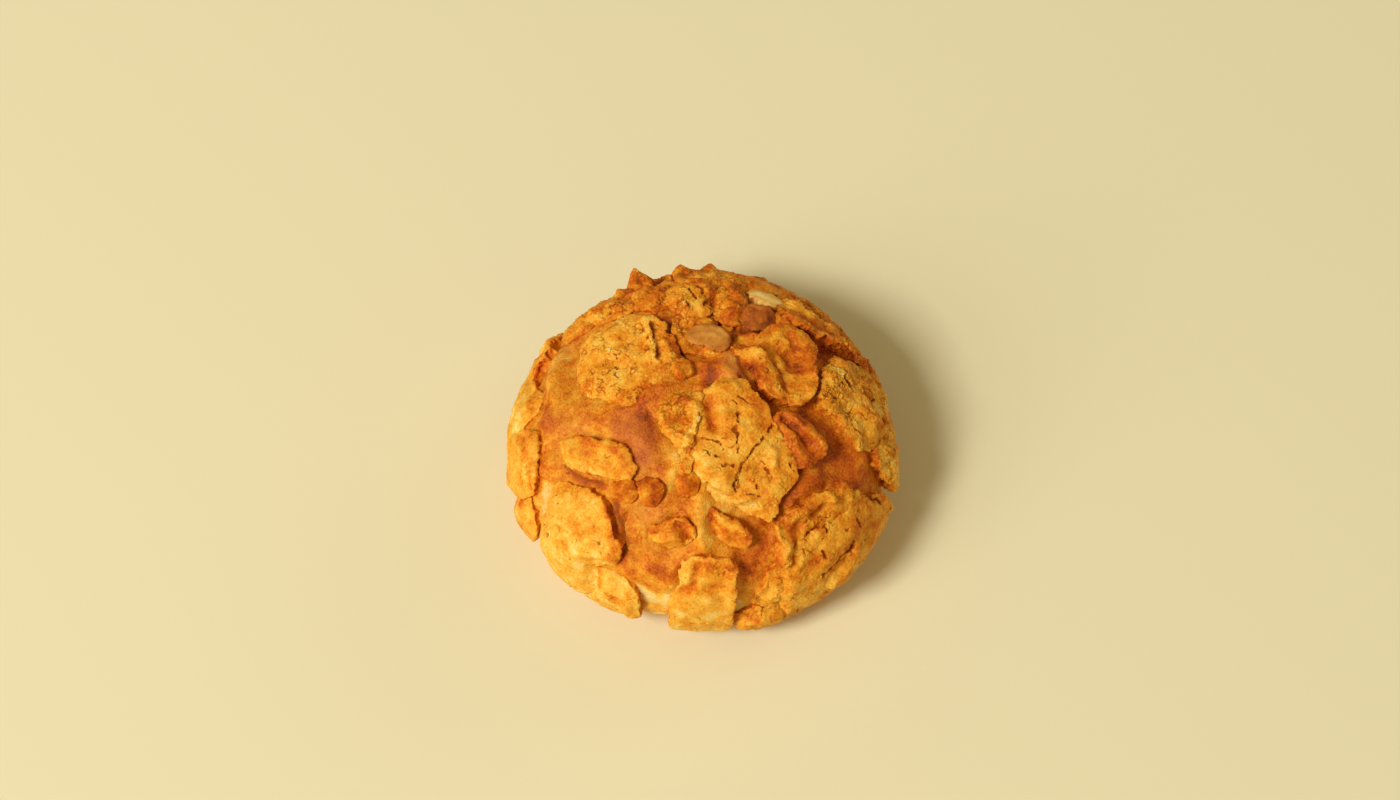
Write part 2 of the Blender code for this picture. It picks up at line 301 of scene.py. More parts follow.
# lumps: height of the swells. ragged: how broken the outline is. crumb: height of the crumb.
# pits: how many holes there are. toast: 0 is pale, 0.5 golden brown, 1 dark brown.
Look = namedtuple("Look", "lumps ragged crumb pits toast")
SMOOTH = Look(0.35, 0.8, 0.17, 0.2, 0.42)
PITTED = Look(0.45, 0.8, 0.26, 0.7, 0.42)
CRUMBLY = Look(0.8, 1.0, 0.45, 0.5, 0.5)
NUGGET = Look(0.7, 0.6, 0.3, 0.3, 0.58)
FAR = Look(0.8, 1.0, 0.4, 0.5, 0.5)
NUT = Look(0.1, 0.15, 0.05, 0.0, 0.5)
LOOKS = {
    "crown_crumbs": CRUMBLY._replace(toast=0.42),
    "crown_plate": SMOOTH._replace(toast=0.36),
    "crown_fold": SMOOTH._replace(crumb=0.22, toast=0.31),
    "fold_flake": NUGGET._replace(toast=0.66),
    "shoulder_plate": PITTED._replace(crumb=0.38, toast=0.33),
    "shoulder_lobe": NUGGET._replace(toast=0.5),
    "shoulder_ridge": CRUMBLY,
    "neck_crumb": CRUMBLY._replace(toast=0.52),
    "back_spike": NUGGET._replace(toast=0.5),
    "left_band": SMOOTH._replace(toast=0.32, ragged=0.3),
    "left_edge": SMOOTH._replace(toast=0.36, ragged=0.2),
    "left_heel": SMOOTH._replace(toast=0.4, ragged=0.3),
    "left_oval": SMOOTH._replace(toast=0.37, ragged=0.5),
    "lower_plate": PITTED._replace(toast=0.26, crumb=0.18, lumps=0.3, ragged=0.4),
    "lower_chip": SMOOTH._replace(toast=0.33, ragged=0.4),
    # darker, partly as painted shadow of the lower plate's cliff on the trough
    "lower_strip": SMOOTH._replace(ragged=0.4, toast=0.48),
    "left_nugget": NUGGET._replace(crumb=0.15, toast=0.6, ragged=0.4),
    "front_nugget": NUGGET._replace(crumb=0.15, toast=0.58, ragged=0.4),
    "front_nub": NUGGET._replace(crumb=0.15, toast=0.56, ragged=0.3),
    "front_flake": SMOOTH._replace(toast=0.42, lumps=0.2, ragged=0.4),
    "front_wedge": SMOOTH._replace(toast=0.46, lumps=0.2, ragged=0.4),
    "front_apron": SMOOTH._replace(toast=0.32, lumps=0.25, ragged=0.6),
    "heel_crumb": PITTED._replace(toast=0.4),
    "heel_chip": PITTED._replace(toast=0.42),
    "right_plate": PITTED._replace(toast=0.42, crumb=0.18),
    "right_rim": CRUMBLY._replace(crumb=0.3, toast=0.48),
    # these two are paler, partly their own colour and partly painted light on the shaded right side
    "right_crust": CRUMBLY._replace(toast=0.32),
    "right_heel": CRUMBLY._replace(toast=0.34),
    "saddle_slope": CRUMBLY._replace(crumb=0.25, toast=0.58),
    "saddle_cup": SMOOTH._replace(crumb=0.22, toast=0.5, ragged=0.5),
    "back_right_ridge": CRUMBLY._replace(toast=0.52),
    "back_plate": CRUMBLY._replace(crumb=0.3, toast=0.48),
    "curled_crumb": CRUMBLY._replace(toast=0.48),
    "orange_crumb": CRUMBLY._replace(toast=0.55),
    "side_crumb": NUGGET._replace(toast=0.62),
    "almond_bed": CRUMBLY._replace(toast=0.52),
    "almond": NUT,
    "pale_nut": NUT,
    "dark_nugget": NUT._replace(lumps=0.5, ragged=0.4, crumb=0.12),
}

# The outline of a broken piece of crust, as corners on the dough: (azimuth, tilt, rim), the rim
# being how high the piece stands at that corner. thick is its height in the middle. Both in mm.
# Where the rim is almost nothing, the piece runs out into the dough.
Plan = namedtuple("Plan", "thick corners")


def plan(thick, *corners):
    return Plan(thick, corners)


PLANS = {
    "crown_plate": plan(
        4.6, (-38, 4, 3), (12, 10, 3.5), (9, 17, 4), (3, 19, 4.5), (-3, 21, 4.5), (-12, 24.5, 5),
        (-20, 28, 5), (-25, 31.5, 5), (-32, 35, 4.6), (-44, 34.8, 4.4), (-56, 36.4, 4.4), (-65, 38, 4.4),
        (-69, 41, 4), (-70, 45, 3), (-77, 48, 1), (-86, 48, 0.4), (-92, 44, 0.6), (-95, 38, 1.6),
        (-96, 28, 3.5), (-95, 19, 4), (-87, 11, 3.5), (-67, 5, 3),
    ),
    "crown_crumbs": plan(
        4.4, (-70, 5, 3), (-113, 5, 3), (-165, 6, 3), (-156, 11, 3), (-152, 16, 3), (-141, 22, 3.5),
        (-133, 25, 3), (-122, 26, 3.5), (-111, 27, 3), (-107, 31, 2), (-107, 35, 1.5), (-106, 41, 1.2),
        (-102, 44, 1.2), (-97, 40, 2), (-94, 34, 3), (-95, 26, 4.5), (-93, 18, 4.5), (-85, 11, 4),
    ),
    "crown_fold": plan(
        4.4, (-31, 34.5, 4.4), (-34, 41, 4.2), (-38, 47, 4.2), (-43, 50.5, 4.6), (-51, 50.5, 5),
        (-55, 52, 5), (-59, 54.5, 5), (-62, 57, 4.2), (-65, 56, 2), (-70, 53, 0.8), (-76, 51.5, 0.3),
        (-82, 50, 0.2), (-84, 48, 0.4), (-79, 47, 1), (-72, 46, 2.4), (-69, 43, 3.8), (-67, 40, 4.2),
        (-58, 37, 4.4), (-46, 35.2, 4.4), (-36, 35, 4.4),
    ),
    "fold_flake": plan(
        4.8, (-24, 32.5, 4.6), (-20, 35, 5), (-18, 39, 5.2), (-20, 45, 5.2), (-22.5, 50.5, 5),
        (-28, 52.5, 4.6), (-35, 51.5, 4.2), (-40, 48.5, 3.8), (-40, 43, 3.6), (-35, 38, 4), (-30, 35, 4.4),
    ),
    "shoulder_plate": plan(
        3.8, (113, 12, 2.5), (118, 19, 3.5), (116, 24, 4), (120, 28, 4), (114, 31, 4.5), (117, 36, 4.5),
        (122, 41, 4), (127, 47, 3), (133, 52, 2), (140, 57, 1.5), (147, 60, 0.6), (157, 56, 0.3),
        (167, 53, 0.2), (176, 52, 0.2), (-178, 48, 0.3), (-172, 42, 0.4), (-165, 37, 1.5), (-161, 31, 2),
        (-163, 25, 2), (-172, 21, 3), (178, 18, 3), (160, 12, 3), (135, 9, 2.5),
    ),
    "shoulder_ridge": plan(
        3.2, (113, 60, 2), (118, 53, 2), (126, 50, 2.5), (133, 54, 2), (141, 61, 1.5), (148, 69, 1),
        (147, 78, 1.2), (136, 82, 1.6), (124, 80, 1.8), (115, 73, 2),
    ),
    "back_spike": plan(
        3.4, (105, 71, 2), (107, 66.5, 2.4), (113, 66, 2.4), (117.5, 69, 2), (116.5, 75, 2), (108, 76, 2),
    ),
    "neck_crumb": plan(
        4.2, (103, 45, 2), (110, 42, 3), (117, 45, 3), (122, 52, 2.5), (120, 60, 2), (112, 64, 2),
        (103, 60, 2), (100, 52, 2),
    ),
    "left_band": plan(
        4, (150, 72, 4.5), (145, 76, 4.5), (147, 85, 3.6), (156, 92, 2.6), (166, 96, 2), (177, 96, 2),
        (-177, 90, 2), (-176, 81, 2.5), (-177, 73, 2.5), (178, 67, 1.2), (171, 66, 0.8), (167, 71, 1.5),
        (162, 76, 2.5), (157, 76, 3.5), (154, 72, 4),
    ),
    "left_edge": plan(
        4, (-177, 73, 2.5), (-172, 65, 3.2), (-167, 64.5, 3.8), (-162, 65.5, 3.8), (-157, 69, 3.8),
        (-154, 73.5, 3), (-156, 79, 3), (-160, 85, 2.5), (-168, 92, 2), (-178, 92, 2), (180, 84, 2),
        (180, 78, 2.2),
    ),
    "left_heel": plan(
        3.6, (-161, 82, 1.5), (-158, 78, 2.2), (-154, 76.5, 2.8), (-150, 78, 3), (-147, 81, 3),
        (-146, 86, 2.8), (-149, 93, 2.5), (-155, 98, 2), (-162, 97, 1.5), (-164, 89, 1.5),
    ),
    "left_oval": plan(
        4.1, (-167, 55, 0.8), (-160, 50.5, 2.4), (-151, 44.3, 3.8), (-145, 40.8, 4.2), (-139, 39.3, 4.4),
        (-132, 39.3, 4.4), (-125.5, 42, 4.2), (-125, 46, 3.6), (-131, 49, 2.4), (-139, 52, 1.8),
        (-146, 55.5, 1.6), (-153, 59.5, 1.2), (-160, 62, 0.5), (-168, 60, 0.4),
    ),
    "lower_plate": plan(
        3.8, (-152, 65, 0.4), (-148, 62.5, 1.4), (-143, 60, 2.2), (-137, 57, 3), (-132, 56, 3.6),
        (-128, 57, 4.2), (-124, 59.5, 4.2), (-120.5, 63, 4.2), (-117, 66.5, 4), (-116, 70, 3.2),
        (-117, 74, 2), (-120, 76, 1.4), (-123, 79, 0.8), (-121, 84, 1), (-120, 92, 1.4), (-126, 99, 1.8),
        (-136, 99, 1), (-146, 93, 0.4), (-150, 85, 0.4), (-148, 78, 0.8), (-148, 73, 1), (-151, 69, 0.8),
    ),
    "lower_chip": plan(
        3.4, (-124, 80, 0.6), (-119, 77.5, 0.8), (-114, 78, 1), (-110, 81, 2), (-108, 85, 3),
        (-107.5, 92, 3.6), (-109, 97, 3.4), (-115, 100, 3.4), (-122, 100, 3), (-130, 99, 1.6),
        (-131, 92, 0.4), (-126, 86, 0.4),
    ),
    "lower_strip": plan(
        1.3, (-120, 57, 0.3), (-116, 56, 0.4), (-112, 60, 0.3), (-110.5, 65, 0.2), (-110, 71, 0.1),
        (-113, 75, 0.1), (-115, 70, 0.4), (-117, 65, 0.4), (-120, 61, 0.3),
    ),
    "left_nugget": plan(
        4.4, (-132, 51, 1.8), (-128, 47, 2.8), (-123, 46.5, 3), (-119, 49, 2.8), (-119.5, 53, 2.4),
        (-127, 54.5, 2), (-132, 54, 1.6),
    ),
    "front_nugget": plan(
        5, (-122, 47, 2.2), (-119, 43.5, 2.4), (-113, 42.5, 2.6), (-108.5, 43.5, 2.6), (-107.5, 47, 2.4),
        (-109.5, 51, 2), (-114, 52.5, 1.4), (-119, 52, 1), (-122, 50, 1.4),
    ),
    "front_nub": plan(
        5.2, (-101, 38.5, 2.4), (-94, 37.3, 2.4), (-89.5, 40, 2.4), (-90.5, 45, 2.2), (-96, 47, 2),
        (-101.5, 45.5, 2), (-103, 41, 2.2),
    ),
    "front_flake": plan(
        3.5, (-104, 55, 2.2), (-98.5, 53, 3), (-94, 53, 3.4), (-91.5, 55.5, 3.6), (-91, 58, 3.4),
        (-92, 60, 2.8), (-95.5, 62, 1.8), (-99, 63.5, 1), (-103, 65.5, 0.4), (-109, 66, 0.2),
        (-112, 62, 0.4), (-112, 59, 1), (-107, 57.5, 1.4),
    ),
    "front_wedge": plan(
        3.5, (-86, 50, 1), (-83, 49.8, 2.4), (-79, 52.5, 4), (-75, 55, 4.6), (-72, 57.5, 4.8),
        (-71.5, 60, 4.6), (-73, 62.5, 3.4), (-78, 63, 1.2), (-84, 62, 0.4), (-85, 57, 1), (-86, 53, 1),
    ),
    "front_apron": plan(
        3.7, (-92, 64.8, 3.4), (-85, 64.3, 4.4), (-80, 64.5, 4.6), (-78.3, 67, 4.6), (-78.8, 72, 4.6),
        (-79.5, 78, 4.4), (-80, 84, 4), (-80.5, 92, 3.8), (-81.5, 97, 4), (-84, 99, 4.2), (-86, 103, 4.4),
        (-88, 99, 4.2), (-92, 99, 4), (-98, 99, 4), (-98.5, 92, 3.4), (-98.3, 83, 2.8), (-97.5, 79, 2.2),
        (-95.5, 75, 2), (-96, 70, 2.4), (-95, 66.5, 2.8),
    ),
    "heel_crumb": plan(
        3, (-71, 80, 1.5), (-67, 74, 2), (-64, 73, 2.5), (-62, 78, 2.5), (-63, 85, 2.5), (-67, 88, 2),
        (-72, 88, 1.5), (-74, 84, 1),
    ),
    "heel_chip": plan(
        4.8, (-79, 90, 1.8), (-74, 87, 2), (-68, 87, 3), (-64, 89, 3), (-63, 95, 4), (-66, 100, 5),
        (-72, 102, 5), (-77, 100, 4.4), (-80, 95, 2.5),
    ),
    "right_plate": plan(
        4.2, (-64, 74, 2.5), (-60, 72, 3), (-56, 68, 3), (-50, 67, 3.5), (-44, 68, 3.5), (-37, 69.5, 4),
        (-32, 68, 4.5), (-28, 70, 4.2), (-26, 74, 3.4), (-23, 78, 3.8), (-20.5, 83, 4), (-19, 89, 4.2),
        (-22, 96, 4.4), (-31, 98, 4.2), (-41, 98, 3.8), (-50, 98, 3), (-58, 98, 2.4), (-65, 97, 2.4),
        (-67, 90, 2.2), (-67, 84, 2), (-66, 78, 2),
    ),
    "right_rim": plan(
        4.4, (-64, 74, 2.5), (-62.5, 67, 3.5), (-61, 61, 4), (-57, 58, 4.4), (-52, 58, 3.8), (-46, 58, 4),
        (-41, 59.5, 4.4), (-36, 61, 4.8), (-32, 63.5, 4.6), (-30, 67, 4), (-36, 69.5, 3.5), (-44, 68, 3),
        (-50, 67, 2.5), (-55, 68, 2.5), (-59, 72.5, 2.5),
    ),
    "right_crust": plan(
        4.2, (21, 56, 3.4), (18, 54, 4.4), (12, 50.5, 4.8), (5, 48.5, 4.8), (-1, 47.5, 4.8), (-6, 49, 4.4),
        (-8, 52, 3.4), (-8, 55.5, 3.4), (-11, 58, 4), (-14, 61, 4), (-15.5, 64, 4), (-13, 68, 3.2),
        (-9, 72, 3), (-5, 77, 3.2), (-1, 84, 3.2), (6, 88, 3.2), (13, 84, 3.2), (16, 77, 3.2),
        (19, 70, 3.2), (21, 63, 3),
    ),
    "right_heel": plan(
        4.8, (-7, 73, 3.5), (-12, 71, 3.5), (-15, 74, 4), (-16, 79, 4.6), (-14, 86, 4.8), (-9, 93, 4.6),
        (-2, 93, 4), (0, 86, 3.5), (-2, 79, 3.5),
    ),
    "saddle_slope": plan(
        4.4, (56, 25, 2), (48, 30, 2), (40, 32, 2.5), (30, 32.5, 2.8), (20, 33.5, 2.8), (8, 35, 3),
        (-4, 37, 3.5), (-10, 36, 4), (-8, 30, 4.6), (1, 26.5, 4.8), (12, 25, 4.8), (22, 24.5, 4.5),
        (32, 23.5, 3.5), (45, 21.5, 2.5),
    ),
    "saddle_cup": plan(
        3.2, (46, 35, 3.5), (45, 42, 4.6), (39, 46.5, 5.2), (32, 48.2, 5.4), (25, 48.6, 5.4),
        (20, 47.5, 5.2), (15, 45.2, 5), (8, 44.6, 5), (2, 44, 5), (-3, 43, 5), (-8, 41, 4.8), (-10, 37, 4),
        (0, 34.5, 3), (12, 33, 2.6), (24, 31.5, 2.6), (36, 31, 2.8),
    ),
    "back_right_ridge": plan(
        3.8, (53, 53, 3.5), (47, 50, 5), (40, 49.5, 5.4), (35.5, 51.5, 5.4), (32, 54.5, 5.4), (29, 59, 5.2),
        (27, 63, 4.6), (24, 67, 4), (20, 71, 3.6), (17, 76, 3.2), (18, 87, 2.4), (26, 90, 2.4),
        (37, 88, 2.4), (48, 84, 2.4), (56, 76, 2.6), (58, 66, 3.2), (57, 58, 3.4),
    ),
    "back_plate": plan(
        3.6, (98, 60, 3.5), (98, 68, 4.2), (96, 77, 3.8), (91, 80, 3.6), (82, 82, 3.4), (70, 82, 3.4),
        (58, 79, 3.4), (54, 69, 3.6), (58, 62, 3.5), (66, 58, 2.5), (76, 55, 2.5), (84, 53.5, 2.5),
        (92, 53.5, 2.5), (97, 55, 2.5),
    ),
    "curled_crumb": plan(
        5.2, (103, 36, 2.5), (106, 44, 3), (103, 52, 3.5), (95, 54, 3.5), (86, 53, 3.5), (81, 47, 3.5),
        (80, 41, 3), (84, 36, 3), (92, 33.5, 2.5), (99, 33.5, 2.5),
    ),
    "orange_crumb": plan(
        4.8, (85, 50, 3), (77, 55, 3), (68, 52, 3), (64, 45, 2.5), (62, 37, 2), (69, 34.5, 2),
        (78, 36.5, 3), (82, 42, 3),
    ),
    "dark_nugget": plan(
        5, (66, 42, 2.5), (64, 47, 3), (57, 50.5, 3), (51, 49.5, 3), (47.5, 45, 3), (49, 40, 2.5),
        (56, 37.5, 2.5), (62, 38.5, 2.5),
    ),
    "pale_nut": plan(
        4, (68.5, 55, 3.6), (61, 57.5, 3.8), (54, 57, 3.8), (51, 52.5, 3.8), (58, 51.5, 3.6), (66, 52, 3.6),
    ),
    "almond_bed": plan(
        2.4, (112, 22, 1.6), (113, 29, 2.8), (107, 34, 3), (99, 35, 3), (88, 34.5, 2.8), (76, 34.5, 2.8),
        (65, 33, 2.6), (55, 29, 1.8), (50, 24, 1.2), (54, 18.5, 1), (74, 16.8, 1), (97, 17.5, 1.2),
    ),
    "almond": plan(
        3.9, (99, 27, 3.3), (91, 29.2, 3.4), (81, 30.2, 3.4), (71, 29.6, 3.4), (64, 27.7, 3.4),
        (59, 25, 3.4), (57.5, 22.3, 3.4), (61, 20.8, 3.3), (72, 20, 3.3), (86, 20.6, 3.3), (96, 22.2, 3.3),
        (100.5, 24.5, 3.3),
    ),
}


# A stroke of the sculpting tool on one piece, or on the skin: what it does, how far to each
# side of its line it reaches and how strongly, both in mm, and the places that it runs through.
#   swell raises the top softly, crest to a sharp edge, lift moves top and underside together,
#   crack cuts and darkens the cut with painted shade, toast browns by that share or, where
#   noted, paints shade or highlight, and on the skin crumb, rosy and flat make it crumbly,
#   reddish or less puffed up by a share.
Stroke = namedtuple("Stroke", "kind width amount path")


def strokes(**kinds):
    """The strokes of each kind, from rows that hold the width, the amount and then the places."""
    return tuple(
        Stroke(kind, width, amount, path)
        for kind, rows in kinds.items()
        for width, amount, *path in rows
    )


# The long crack where the plate on the crown has broken from the fold below it
PLATE_CRACK = (
    0.7, 1.2, (-31, 33.6), (-38, 33.6), (-46, 34.2), (-57, 36), (-65, 37.6), (-68.5, 40.5), (-69.5, 44),
)

STROKES = {
    "crown_plate": strokes(
        crack=(
            PLATE_CRACK, (0.6, 1.3, (-31, 15.5), (-33, 18)),
            (0.9, 1.8, (-39, 20.3), (-43, 20.8), (-44.5, 22.2), (-49.5, 23)),
            (0.9, 1.8, (-53.5, 23.8), (-56.5, 25.5), (-55.5, 27.5), (-58, 29.6)),
            (0.5, 1, (-57, 29), (-62, 33)), (0.6, 1, (-88, 24.5), (-82, 25), (-76, 25.5), (-70, 30)),
            (0.7, 1.6, (-86, 29), (-83, 30), (-81, 31.5)), (0.6, 1.4, (-77, 31.5), (-74, 32.5)),
            (0.7, 1.5, (-75, 35), (-68, 36.3)), (0.6, 1.3, (-86, 41), (-86, 43.5)),
            (0.7, 1.5, (-71, 42.5), (-71, 45.5)), (0.6, 1, (-20, 17), (-24, 24)),
        ),
        swell=(
            (2.8, -1.8, (-64, 9), (-68, 15), (-70, 20)), (4, 0.9, (-42, 28), (-30, 25)),
            (2.4, 0.8, (-50, 20), (-52, 26)), (3, -0.8, (-88, 27), (-76, 28), (-68, 32)),
            (2.6, 0.8, (-84, 36), (-76, 38)), (2.2, 0.9, (-20, 10), (-5, 15)),
        ),
        toast=(
            # the first stroke is painted shade in the valley beside the crumbs
            (2.8, 0.24, (-64, 9), (-68, 15), (-72, 20)), (5, 0.1, (-20, 24), (-30, 29)),
            (3, -0.16, (-46, 24), (-50, 30)), (4, -0.12, (-86, 32), (-74, 33)),
            (4, -0.16, (-88, 41), (-78, 44)), (2, 0.15, (-5, 18), (-18, 24), (-28, 30)),
        ),
    ),
    "crown_fold": strokes(
        crack=(
            PLATE_CRACK, (0.7, 1.4, (-41, 45.5), (-42, 48)), (0.6, 1.2, (-60, 43), (-61, 46.5)),
            (0.5, 0.9, (-52, 42), (-53, 46)), (0.5, 0.8, (-67, 47), (-62, 49)),
        ),
        swell=(
            (2.6, 1, (-44, 39), (-47, 42)), (3, -0.9, (-55, 42), (-60, 41), (-66, 44)),
            (2.4, 0.9, (-50, 48), (-56, 49)), (2, 0.8, (-68, 49), (-74, 49)),
        ),
        toast=(
            (3, -0.2, (-42, 38), (-47, 41)), (3, -0.22, (-80, 48), (-72, 50.5), (-66, 52)),
            (2.2, 0.16, (-65, 53), (-63, 55)), (1.8, 0.16, (-64, 44), (-62, 45)),
            (2, 0.2, (-60, 39), (-64, 40)), (1.6, 0.2, (-36, 43), (-39, 47), (-44, 50)),
        ),
    ),
    "fold_flake": strokes(
        crest=((1.8, 1.4, (-19.5, 37), (-22, 42), (-24, 49)), (2.2, 0.8, (-27, 35), (-31, 41), (-35, 48))),
        swell=(
            (1.5, -1.3, (-21.5, 35), (-25.5, 41), (-28, 48)), (1.2, -0.9, (-30, 37), (-35, 43), (-39, 48)),
        ),
        toast=(
            # painted shade in the grooves and painted highlight on the crests
            (1.4, 0.16, (-21.5, 35), (-25.5, 41), (-28, 48)), (1.8, -0.16, (-20, 38), (-22, 43), (-24, 48)),
            (1.6, -0.1, (-29, 38), (-33, 45)),
        ),
    ),
    "crown_crumbs": strokes(
        swell=(
            (2.2, 1.4, (-92, 11), (-92, 19), (-98, 24)), (1.8, 1.4, (-102, 25)),
            (2, 1, (-104, 30), (-106, 38)), (2.4, -1.2, (-110, 14), (-112, 20)), (2.2, 1, (-137, 20)),
            (2, 0.9, (-122, 23)), (2.2, 0.8, (-120, 10), (-140, 12)),
        ),
        toast=(
            # the pale strokes are painted highlight along the raised ridges; the others brown
            (2.2, -0.16, (-92, 11), (-92, 19), (-98, 24)), (1.6, -0.3, (-102, 25), (-101, 27)),
            (2.2, -0.24, (-103, 30), (-106, 38)), (3, 0.1, (-112, 16), (-130, 22)),
            (5, 0.1, (-150, 10), (-120, 8)),
        ),
    ),
    "shoulder_plate": strokes(
        crest=((2, 1.2, (124, 39), (126, 33), (135, 27), (145, 22)),),
        crack=(
            (1.2, 1.6, (121, 35), (125, 30), (133, 24), (143, 20)), (0.6, 1.2, (161, 36), (164, 34.6)),
            (0.6, 1.2, (167, 34.4), (170, 33)), (0.5, 1, (165, 37), (168, 38)),
            (0.5, 1, (153, 38), (156, 36.5)), (0.5, 1, (158, 40), (162, 41)),
            (0.6, 1.2, (131, 31), (133, 30)), (0.6, 1.2, (137, 28), (141, 26)),
            (0.5, 1, (128, 36), (130, 33)), (0.5, 1, (-177, 32), (-178, 29.5)),
            (0.5, 1, (-178, 24), (-176, 22)), (0.5, 1, (164, 47), (167, 45)),
            (0.5, 1, (142, 40), (145, 39)), (0.5, 1, (172, 40), (174, 38.5)),
            (0.5, 1, (176, 33), (178, 35)), (0.5, 1, (150, 31), (153, 32)),
        ),
        swell=(
            (4, 0.9, (150, 45), (140, 42)), (3, -0.8, (165, 32), (158, 40)),
            (3, 0.9, (-172, 26), (-166, 32)), (2.2, 1, (124, 24), (130, 18)), (1.2, -1.2, (-176, 46)),
        ),
        toast=(
            # the first stroke is painted shade in the dimple, and the pale one along the crest painted
            # highlight
            (1.4, 0.3, (-176, 46)), (1.4, -0.25, (-178, 44), (179, 47)),
            (6, 0.12, (-166, 30), (-174, 38), (180, 46)), (5, -0.1, (150, 44), (138, 38)),
            (2.5, -0.12, (124, 38), (130, 30), (142, 23)), (2, 0.25, (113, 14), (118, 22), (115, 28)),
            (4, 0.15, (-178, 22), (165, 14)),
        ),
    ),
    "shoulder_ridge": strokes(
        swell=((3, 1.4, (117, 68), (116, 74)), (2.5, 0.9, (130, 62), (136, 66))),
        toast=((3, 0.25, (117, 64), (116, 72)), (4, -0.14, (132, 58), (142, 66))),
    ),
    "back_spike": strokes(
        crest=((4.6, 4.4, (111, 71)),),
        toast=((2, -0.1, (111, 70)),),
    ),
    "neck_crumb": strokes(
        swell=((2, 1.2, (112, 56)), (2, -1, (108, 48))),
        toast=((2.5, -0.12, (104, 56), (110, 60)), (2.5, 0.15, (116, 56), (114, 62))),
    ),
    "left_band": strokes(
        toast=(
            # the two narrow darker strokes are painted shade along the groove
            (6, -0.14, (170, 80), (180, 76)), (2, 0.14, (168, 72), (176, 69)),
            (3, -0.1, (150, 76), (158, 82)), (2, 0.12, (153, 74), (160, 77), (166, 72)),
        ),
        swell=((2.4, -1, (160, 78), (168, 74), (176, 72)),),
        crest=((2.4, 1.2, (148, 74), (150, 80)),),
    ),
    "left_edge": strokes(
        crest=((1.8, 1, (-172, 66), (-166, 66), (-160, 68)),),
        toast=(
            # the darker strokes are painted shade in the groove, and the pale spot a painted highlight
            (2, 0.16, (-176, 70), (-171, 66)), (1.8, 0.2, (-174, 71), (-168, 69.5)),
            (1.4, -0.5, (-163, 70.5), (-159, 72)), (3, -0.1, (-176, 80), (-166, 80)),
        ),
        swell=((2, -1.4, (-174, 71), (-168, 69), (-162, 70)),),
    ),
    "left_heel": strokes(toast=((2, 0.35, (-159, 79), (-156, 80)), (3, -0.08, (-152, 84), (-155, 90)))),
    "left_oval": strokes(
        lift=((3, 0.8, (-158, 47), (-148, 43), (-139, 40), (-131, 43)),),
        swell=((2, -0.7, (-147, 52)), (3, -0.6, (-140, 45), (-150, 50))),
        toast=(
            (2, 0.18, (-160, 51), (-150, 44), (-138, 40), (-129, 42)), (2, -0.14, (-136, 49), (-144, 53)),
            # painted shade in the pit
            (1.2, 0.2, (-147, 52), (-145, 54)),
        ),
    ),
    "lower_plate": strokes(
        lift=((3, 0.8, (-128, 56), (-121, 62), (-118, 70)),),
        toast=(
            # the strokes along the cliff and the top edge are browning and painted shade below those edges;
            # those in the pits painted shade
            (2.4, 0.26, (-132, 55), (-124, 58.5), (-119, 66), (-116.5, 71)),
            (2, 0.22, (-148, 62), (-141, 59), (-134, 56)), (1.4, 0.14, (-131, 62.5), (-128, 63.5)),
            (1.5, 0.14, (-134, 68), (-131, 70)), (7, -0.08, (-138, 84), (-128, 88)),
        ),
        crack=((1, 1.2, (-141, 77), (-142, 78.5)),),
        swell=((1.6, -0.6, (-131, 62.5), (-128, 63.5)), (2, -0.9, (-134, 68)), (1.4, -0.9, (-130, 69))),
    ),
    "lower_chip": strokes(
        toast=(
            # the second stroke is painted shade in the dimple
            (2, 0.3, (-124, 80), (-121, 84)), (2.2, 0.3, (-117, 87), (-115, 88)),
            (2, -0.16, (-118, 79), (-113, 80)),
        ),
        swell=((2, -0.7, (-117, 87), (-115, 88)), (2, 0.9, (-112, 88), (-110, 93))),
    ),
    "front_nugget": strokes(
        crack=((0.7, 1.2, (-121, 47.5), (-120, 50)),),
        # the darker stroke is painted shade on the nugget's right flank, away from the light
        toast=((1.6, 0.25, (-111, 43), (-109, 46), (-110, 50)), (2, -0.12, (-116, 47), (-117, 50))),
    ),
    "front_nub": strokes(toast=((3, 0.1, (-95, 42)),)),
    "front_flake": strokes(
        swell=(
            (5, 1.5, (-104, 59), (-100, 57.5)),
            (1.8, -1.8, (-97.5, 54.5), (-94.5, 56), (-93, 58.5), (-94, 60.5)),
        ),
        crest=((1, 0.7, (-98, 53.2), (-94, 53.4), (-91.8, 55.8), (-91.3, 58), (-92.5, 60)),),
        toast=(
            # painted shade in the curled groove and in the groove to the left
            (1.5, 0.34, (-97, 54.5), (-94.3, 56), (-93, 58.5)), (1.2, 0.25, (-112, 59), (-106, 58)),
            (3, -0.1, (-108, 64), (-101, 63)),
        ),
    ),
    "front_wedge": strokes(
        crest=((1.5, 1, (-84, 50.3), (-80, 53), (-76, 55.2), (-72.5, 58)),),
        swell=((2.6, -0.8, (-80, 57), (-77, 60)),),
        toast=(
            # painted shade in the groove at the left, and painted highlight along the ridge
            (1.4, 0.32, (-85.5, 51), (-84.3, 55), (-83.5, 59)),
            (1.5, -0.14, (-82, 52.3), (-77, 55), (-73.5, 58)), (3, -0.05, (-80, 57), (-77, 60)),
        ),
    ),
    "front_apron": strokes(
        crest=((2.2, 0.6, (-89, 65.5), (-84, 65), (-80, 65.5)), (1.8, 0.7, (-79.3, 66), (-79.8, 76))),
        swell=((2, -1, (-90, 66), (-90, 69), (-92, 73), (-94, 77)), (3, -0.8, (-85, 74), (-83, 80))),
        toast=(
            # the first stroke is painted shade in the groove
            (1.8, 0.3, (-90, 66), (-90, 69), (-92, 73), (-94, 77)), (1.8, 0.26, (-81, 65.5), (-79.5, 67)),
